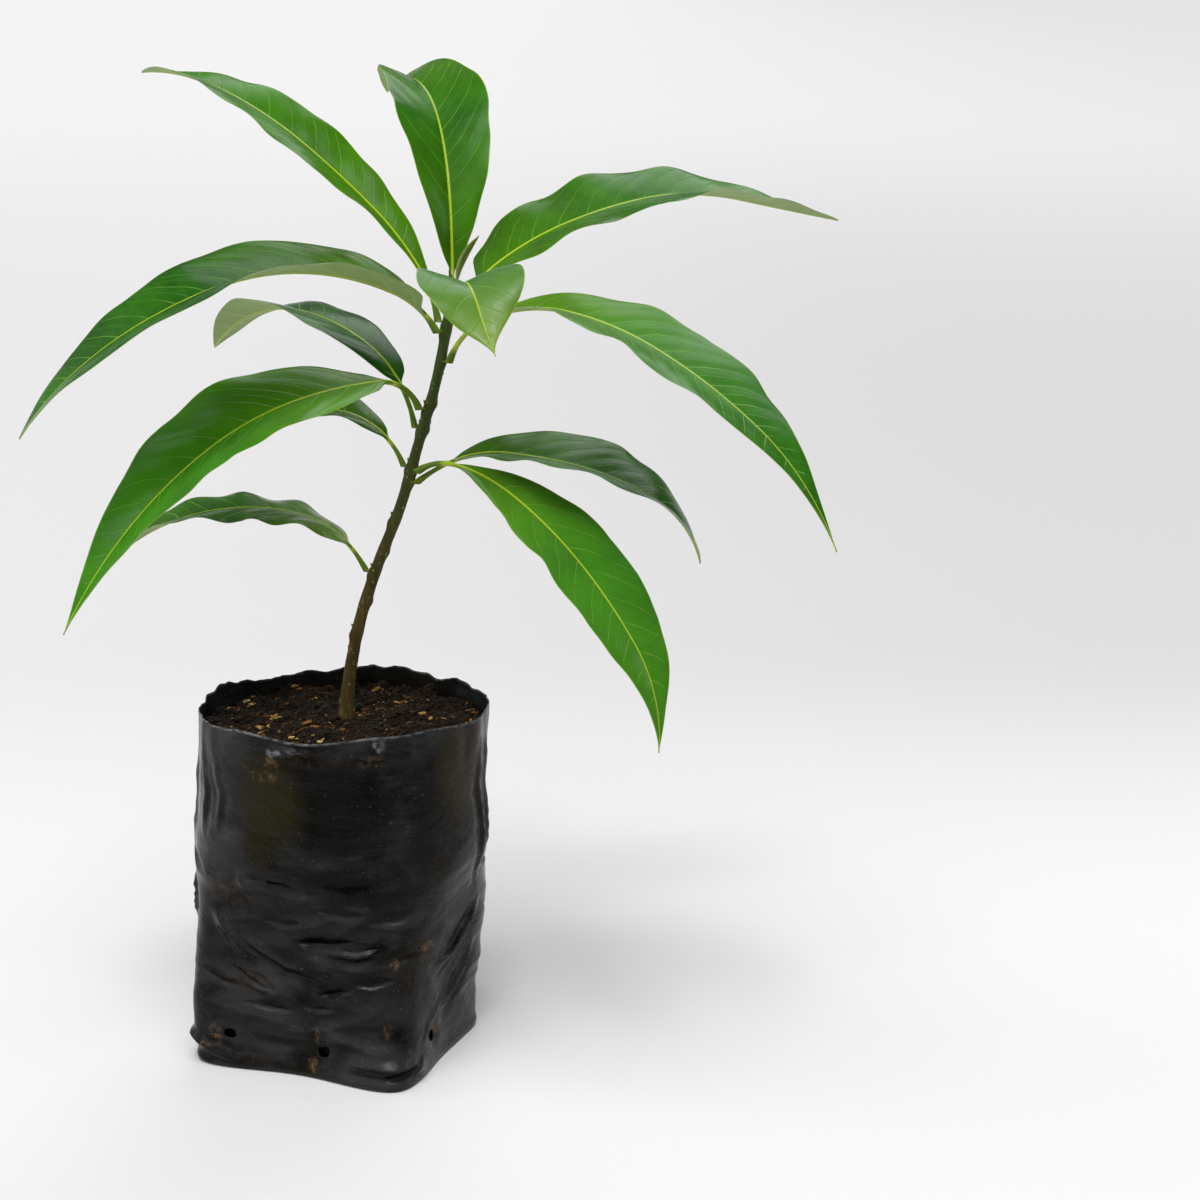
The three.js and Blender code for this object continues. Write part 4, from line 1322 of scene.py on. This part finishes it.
def build_chips():
    """Chips of bark, straw and husk that lie on the soil. Each of the larger ones is a clump of flakes."""
    rng = random.Random(11)
    mesh = bmesh.new()
    chips = []
    for x, y, length, width, tone in PLACED_CHIPS:
        for _ in range(CHIP_FLAKES):
            spread = FLAKE_SPREAD * length
            place = (x + rng.uniform(-spread, spread), y + rng.uniform(-spread, spread))
            size = rng.uniform(*FLAKE_SCALES)
            chips.append((*place, length * size, width * size, tone + rng.uniform(*FLAKE_TONES)))
    for _ in range(CHIP_COUNT):
        x, y = soil_spot(rng)
        length = rng.uniform(*CHIP_LENGTHS)
        chips.append((x, y, length, rng.uniform(*CHIP_WIDTHS), rng.uniform(*CHIP_TONES)))
    for x, y, length, width, tone in chips:
        x, y = held_inside(x, y)
        place = (x, y, soil_surface(x, y) + CHIP_LIFT)
        add_crumb(mesh, rng, place, (length / 2, width / 2, CHIP_THICKNESS), tone, 2)
    make_piece(mesh, "soil_chips", [crumb_brown()])


def build_fibres():
    """Thin roots and fibres that curl over the soil."""
    rng = random.Random(23)
    mesh = bmesh.new()
    for _ in range(FIBRE_COUNT):
        x, y = soil_spot(rng)
        heading = rng.uniform(0, 2 * math.pi)
        path = []
        step = rng.uniform(*FIBRE_STEPS)
        for _ in range(FIBRE_POINTS):
            x, y = held_inside(x, y)
            lift = FIBRE_LIFT + FIBRE_HOVER * rng.random()
            path.append(Vector((x, y, soil_surface(x, y) + lift)))
            heading += rng.uniform(*FIBRE_TURNS)
            x += step * math.cos(heading)
            y += step * math.sin(heading)
        radius = rng.uniform(*FIBRE_RADII)
        radii = [radius * (1 - FIBRE_TAPER * index) for index in range(FIBRE_POINTS)]
        tone = rng.choice([rng.uniform(*tones) for tones in FIBRE_TONES])
        rings = tube_rings(path, radii, FIBRE_SIDES)
        skin(mesh, rings, {"tone": [[tone] * FIBRE_SIDES] * len(rings)})
    face_outwards(mesh)
    make_piece(mesh, "soil_fibres", [crumb_brown()])


# The stem

STEM_FOOT = soil_top(STEM_FOOT_X, 0) + GAP


def stem_centre(z):
    top = max(z, STEM_FOOT)
    places = [index / (len(STEM_LEAN) - 1) for index in range(len(STEM_LEAN))]
    x = STEM_FOOT_X
    for step in range(LEAN_STEPS):
        height = mix(STEM_FOOT, top, (step + 0.5) / LEAN_STEPS)
        share = (height - STEM_FOOT) / (STEM_TOP - STEM_FOOT)
        x += math.tan(math.radians(along(STEM_LEAN, places, share))) * (top - STEM_FOOT) / LEAN_STEPS
    bow = STEM_BOW * math.sin(math.pi * (top - STEM_FOOT) / (STEM_TOP - STEM_FOOT))
    return Vector((x, bow, z))


def stem_radius(z, angle):
    share = (z - STEM_FOOT) / (STEM_TOP - STEM_FOOT)
    flare = ROOT_FLARE * math.exp(-(z - STEM_FOOT) / ROOT_FLARE_HEIGHT)
    radius = mix(STEM_FOOT_RADIUS, STEM_TOP_RADIUS, share)
    radius += flare * (1 + ROOT_RIDGE * math.cos(ROOT_COUNT * angle))
    for joint in [*LEAVES.values(), *SCARS]:
        heading = math.radians(joint["heading"][0])
        facing = max(math.cos(angle - heading), 0) ** SHELF_FOCUS
        distance = z - joint["foot"]
        radius += JOINT_SWELL * bump(distance, JOINT_REACH)
        radius += SHELF_SWELL * facing * bump(distance + SHELF_DROP, SHELF_REACH)
    tip_share = smooth((z - (STEM_TOP - STEM_TIP_LENGTH)) / STEM_TIP_LENGTH)
    return mix(radius, STEM_TIP_RADIUS, tip_share)


def bark_relief(z, angle):
    """Long fissures and knobs of the bark, deeper on the old wood below."""
    spot = heading_vector(angle) * 2
    age = 1 - smooth((z - STEM_FOOT) / OLD_WOOD)
    total = 0
    for bark in BARK_RELIEF:
        total += mix(bark["young"], bark["old"], age) * side_noise(spot, z, bark["width"], bark["high"])
    return total


def build_stem():
    count = round((STEM_TOP - STEM_FOOT + STEM_SINK) / STEM_ROW_STEP)
    clockwise = [-angle for angle in turns(STEM_COLUMNS)]
    rings = [point_ring(stem_centre(STEM_FOOT - STEM_SINK), STEM_COLUMNS)]
    ages = []
    for row in range(count + 1):
        z = mix(STEM_FOOT - STEM_SINK, STEM_TOP, row / count)
        centre = stem_centre(z)
        ring = []
        for angle in clockwise:
            reach = stem_radius(max(z, STEM_FOOT), angle) + bark_relief(z, angle)
            ring.append(centre + heading_vector(angle) * reach)
        rings.append(ring)
        ages.append([rising(z - STEM_FOOT, *GREENING)] * STEM_COLUMNS)
    rings.append(point_ring(stem_centre(STEM_TOP) + Vector((0, 0, STEM_END_ROUNDING)), STEM_COLUMNS))
    mesh = bmesh.new()
    skin(mesh, rings, {"stem_age": [ages[0], *ages, ages[-1]]})
    face_outwards(mesh)
    make_piece(mesh, "stem_limb", [stem_bark()], ["stem"])


def build_lenticels():
    """Pale corky spots, drawn out along the bark."""
    rng = random.Random(31)
    mesh = bmesh.new()
    for _ in range(LENTICEL_COUNT):
        z = mix(STEM_FOOT + LENTICEL_FROM, STEM_TOP - LENTICEL_END, rng.random() ** 1.2)
        angle = rng.uniform(0, 2 * math.pi)
        reach = stem_radius(z, angle) - LENTICEL_SINK
        place = stem_centre(z) + heading_vector(angle) * reach
        verts = bmesh.ops.create_icosphere(mesh, subdivisions=1, radius=1)["verts"]
        size = rng.uniform(*LENTICEL_SIZES)
        for vert in verts:
            flat = (vert.co.x * size, vert.co.y * size)
            vert.co = place + Vector((*flat, vert.co.z * size * LENTICEL_STRETCH))
    make_piece(mesh, "stem_lenticels", [lenticel_cork()])


def add_bud(mesh, foot, pointing, length, radius):
    """A pointed bud, fattest in its lower third."""
    path = [foot + pointing * (length * place) for place in BUD_PLACES]
    rings = tube_rings(path, [radius * fatness for fatness in BUD_FATNESS], BUD_SIDES)
    rings[-1] = point_ring(foot + pointing * length, BUD_SIDES)
    skin(mesh, rings)


def build_buds():
    """A bud over each leaf's foot and each scar, and the pointed one at the stem's tip."""
    rng = random.Random(41)
    mesh = bmesh.new()
    for joint in [*LEAVES.values(), *SCARS]:
        angle = math.radians(joint["heading"][0])
        heading = heading_vector(angle)
        z = joint["foot"] + BUD_RISE
        foot = stem_centre(z) + heading * (stem_radius(z, angle) - BUD_SINK)
        pointing = (heading * BUD_LEAN + Vector((0, 0, 1))).normalized()
        add_bud(mesh, foot, pointing, rng.uniform(*BUD_LENGTHS), rng.uniform(*BUD_RADII))
    foot = stem_centre(STEM_TOP) - Vector((0, 0, BUD_RISE))
    add_bud(mesh, foot, Vector(TIP_BUD["pointing"]).normalized(), TIP_BUD["length"], TIP_BUD["radius"])
    face_outwards(mesh)
    make_piece(mesh, "stem_buds", [bud_scales()])


# The leaves


def leaf_frame(leaf, place):
    """Directions at a place along the leaf: forward on the midrib, right across the blade, up out of it."""
    pitch = math.radians(along(leaf["pitch"], PITCH_PLACES, place))
    heading = math.radians(along(leaf["heading"], TURN_PLACES, place))
    roll = math.radians(along(leaf["roll"], TURN_PLACES, place))
    forward = heading_vector(heading) * math.cos(pitch) + Vector((0, 0, math.sin(pitch)))
    level = Vector((math.sin(heading), -math.cos(heading), 0))
    upright = level.cross(forward)
    right = level * math.cos(roll) + upright * math.sin(roll)
    up = upright * math.cos(roll) - level * math.sin(roll)
    return forward, right, up


def stalk_radius(leaf, distance):
    size = min(math.sqrt(leaf["length"] / STALK_FULL_LEAF), STALK_MOST)
    return size * mix(STALK_RADIUS, STALK_FOOT_RADIUS, bump(distance, STALK_FOOT_LENGTH))


def leaf_foot(leaf):
    """Where the stalk meets the stem, and the way into the stem from there."""
    _, right, up = leaf_frame(leaf, 0)
    radius = stalk_radius(leaf, 0)
    if leaf is YOUNG_LEAF:
        lift = GAP + radius * (abs(right.z) + up.z)
        return stem_centre(STEM_TOP) + Vector((0, 0, lift)), Vector((0, 0, -1))
    heading = math.radians(leaf["heading"][0])
    outward = heading_vector(heading)
    centre = stem_centre(leaf["foot"])
    reach = stem_radius(leaf["foot"], heading) + GAP
    for _ in range(FOOT_MOVES):
        clearance = math.inf
        for angle in turns(FOOT_POINTS):
            point = centre + outward * reach
            point += right * (radius * math.cos(angle)) + up * (radius * math.sin(angle))
            axis = stem_centre(point.z)
            around = math.atan2(point.y - axis.y, point.x - axis.x)
            distance = math.hypot(point.x - axis.x, point.y - axis.y)
            clearance = min(clearance, distance - stem_radius(point.z, around))
        reach += GAP - clearance
    return centre + outward * reach, -outward


def midrib(leaf, foot):
    points = [foot]
    step = leaf["length"] / LEAF_ROWS
    for row in range(LEAF_ROWS):
        forward = leaf_frame(leaf, (row + 0.5) / LEAF_ROWS)[0]
        points.append(points[row] + forward * step)
    return points


def half_width(leaf, blade_share):
    share = min(max(blade_share, 0), 1)
    half = leaf["width"] / 2 * max(math.sin(math.pi * share ** leaf["belly"]), 0) ** leaf["taper"]
    return max(half, FINE_TIP)


def face_steps():
    """Places across the leaf, from its right margin over its top to its left, and back underneath."""
    steps = []
    for column in range(2 * FACE_STEPS):
        straight = 1 - 2 * column / FACE_STEPS
        if column > FACE_STEPS:
            straight = 2 * (column - FACE_STEPS) / FACE_STEPS - 1
        across = math.copysign(abs(straight) ** CROWDING, straight)
        side = 1 if column < FACE_STEPS else -1
        margin = column in (0, FACE_STEPS)
        steps.append((across, 0 if margin else side, math.pi * column / FACE_STEPS))
    return steps


def blade_rise(leaf, distance, blade_share, across, fold, seed):
    """Height of the blade's middle layer over its midrib."""
    half = half_width(leaf, blade_share)
    side = abs(across) * half
    share = min(max(blade_share, 0), 1)
    fullness = min(half / (leaf["width"] / 2), 1)
    wave = leaf["wave"]
    turn = 2 * math.pi * wave["count"] * share + wave["shift"] + (0 if across > 0 else SIDE_WAVE_SHIFT)
    rise = side * math.sin(fold) - CUP * half * across**2
    rise += wave["height"] * math.sin(turn) * across**2 * fullness
    ripple = noise.noise(Vector((distance / RIPPLE_LENGTH, across * 1.2, seed * 5.3)))
    rise += RIPPLE * ripple * across**4 * fullness
    course = side * (VEIN_SWEEP + VEIN_CURVE * side)
    count = (distance - leaf["stalk"] - course) / VEIN_SPACING + (0.5 if across > 0 else 0)
    puff = -math.cos(2 * math.pi * (count - 0.5))
    return rise + QUILT * puff * smooth(side / QUILT_FADE) * smooth((half - side) / QUILT_FADE)


def uneven_halves(leaf, distance, blade_share, seed):
    """Half the blade's width on its left, -1, and on its right, 1."""
    halves = {}
    for side in (-1, 1):
        uneven = noise.noise(Vector((distance / UNEVEN_LENGTH, 3.7 * side, seed * 2.9)))
        halves[side] = half_width(leaf, blade_share) * (1 + UNEVEN * uneven)
    return halves


def face_offset(across, face, side, share, stalk):
    """How far the leaf's top or underside lies from its middle layer, with the midrib's ridges."""
    offset = face * BLADE_THICKNESS / 2 * (1 - MARGIN_THINNING * abs(across) ** 6)
    rib_width = mix(*RIB_WIDTH, share)
    if face < 0:
        return offset - mix(*RIB_DEPTH, share**0.6) * stalk * bump(side, rib_width)
    return offset + mix(*TOP_RIB_HEIGHT, share) * bump(side, TOP_RIB_NARROWING * rib_width)


def leaf_rings(leaf, seed):
    """The leaf's rings from inside the stem to its tip, and the marks of each point."""
    foot, inward = leaf_foot(leaf)
    points = midrib(leaf, foot)
    steps = face_steps()
    rings = []
    marks = {"leaf_place": [], "leaf_tone": [], "leaf_edge": []}
    for row, middle in enumerate(points):
        place = row / LEAF_ROWS
        _, right, up = leaf_frame(leaf, place)
        distance = place * leaf["length"]
        blade_share = (distance - leaf["stalk"]) / (leaf["length"] - leaf["stalk"])
        blade = smooth(blade_share / BLADE_START)
        share = min(max(blade_share, 0), 1)
        fold = math.radians(along(leaf["fold"], TURN_PLACES, place))
        halves = uneven_halves(leaf, distance, blade_share, seed)
        stalk = stalk_radius(leaf, distance)
        tone = Vector([along(leaf[name], TURN_PLACES, share) for name in ("fresh", "grey_and_sheen", "yellow")])
        ring = []
        places = []
        edges = []
        for across, face, angle in steps:
            half = halves[1 if across > 0 else -1]
            side = abs(across) * half
            flat_up = blade_rise(leaf, distance, blade_share, across, fold, seed)
            flat_up += face_offset(across, face, side, share, stalk)
            flat_across = across * half * math.cos(fold)
            point = middle + right * mix(stalk * math.cos(angle), flat_across, blade)
            ring.append(point + up * mix(stalk * math.sin(angle), flat_up, blade))
            places.append(Vector((distance - leaf["stalk"], across * half, share)))
            edges.append(half - side)
        rings.append(ring)
        marks["leaf_place"].append(places)
        marks["leaf_tone"].append([tone] * len(steps))
        marks["leaf_edge"].append(edges)
    sunk = [point + inward * STALK_SINK for point in rings[0]]
    inside = sum(sunk, Vector()) / len(sunk)
    rings = [point_ring(inside, len(steps)), sunk, *rings]
    rings.append(point_ring(points[-1] + leaf_frame(leaf, 1)[0] * FINE_TIP, len(steps)))
    for values in marks.values():
        values[:0] = [values[0], values[0]]
        values.append(values[-1])
    return rings, marks


def sharpen_margins(mesh):
    """The blade's two faces meet in a crisp edge. The stalk stays round."""
    place = mesh.verts.layers.float_vector["leaf_place"]
    for edge in mesh.edges:
        kinds = {face.material_index for face in edge.link_faces}
        if len(kinds) == 2 and min(vert[place].z for vert in edge.verts) > BLADE_START:
            edge.smooth = False


def build_leaf(name, leaf, seed, materials):
    rings, marks = leaf_rings(leaf, seed)
    mesh = bmesh.new()
    skin(mesh, rings, marks)
    bmesh.ops.recalc_face_normals(mesh, faces=mesh.faces)
    for face in mesh.faces:
        face.smooth = True
    sharpen_margins(mesh)
    make_piece(mesh, name + "_leaf", materials, ["leaf_" + name])


def build_leaves():
    faces = [leaf_top(), leaf_underside()]
    for seed, (name, leaf) in enumerate(LEAVES.items()):
        build_leaf(name, leaf, seed, faces)
    young = young_leaf_skin()
    build_leaf("young", YOUNG_LEAF, len(LEAVES), [young, young])


# The studio


def add_floor():
    mesh = bmesh.new()
    bmesh.ops.create_grid(mesh, x_segments=8, y_segments=8, size=FLOOR_HALF)
    data = bpy.data.meshes.new("studio_floor")
    mesh.to_mesh(data)
    mesh.free()
    data.materials.append(pale_floor())
    floor = bpy.data.objects.new("studio_floor", data)
    bpy.context.scene.collection.objects.link(floor)
    floor.location.z = -FLOOR_DROP


def add_light(name, kind, location, energy, **settings):
    light = bpy.data.lights.new(name, kind)
    light.energy = energy
    for setting, value in settings.items():
        setattr(light, setting, value)
    lamp = bpy.data.objects.new(name, light)
    lamp.location = location
    way = Vector(STUDIO_MIDDLE) - Vector(location)
    lamp.rotation_euler = way.to_track_quat("-Z", "Y").to_euler()
    lamp.visible_camera = False
    bpy.context.scene.collection.objects.link(lamp)


def soft_world():
    """A dim room with a bright backdrop low behind the tree, and some light from the left."""
    world = bpy.data.worlds.new("studio")
    world.use_nodes = True
    tree = world.node_tree
    way = add_node(tree, "ShaderNodeTexCoord", {}).outputs["Generated"]
    x, y, z = add_node(tree, "ShaderNodeSeparateXYZ", {0: way}).outputs
    backdrop = times(tree, ramp(tree, y, 0.0, 0.7), ramp(tree, z, 0.34, 0.1))
    left = ramp(tree, x, 0.0, -1.0)
    strength = plus(tree, times(tree, backdrop, BACKDROP_GLOW), ROOM_GLOW)
    strength = plus(tree, strength, times(tree, left, LEFT_GLOW))
    background = tree.nodes["Background"]
    background.inputs["Color"].default_value = (1, 0.995, 1, 1)
    tree.links.new(strength, background.inputs["Strength"])
    return world


def add_studio():
    scene = bpy.context.scene
    scene.view_settings.view_transform = "Standard"
    scene.world = soft_world()
    for name, place, energy, spread in SUNS:
        add_light(name, "SUN", place, energy, angle=math.radians(spread))
    for name, place, energy in PANELS:
        add_light(name, "AREA", place, energy, **PANEL_SHAPE)


def add_camera():
    lens = bpy.data.cameras.new("photo_camera")
    lens.lens = CAMERA_LENS
    lens.sensor_width = CAMERA_SENSOR
    camera = bpy.data.objects.new("photo_camera", lens)
    camera.location = CAMERA_PLACE
    camera.rotation_euler = (math.radians(CAMERA_TILT), 0, 0)
    bpy.context.scene.collection.objects.link(camera)
    bpy.context.scene.camera = camera


add_camera()
add_studio()
add_floor()
build_bag()
build_soil()
build_crumbs()
build_clods()
build_chips()
build_fibres()
build_stem()
build_lenticels()
build_buds()
build_leaves()
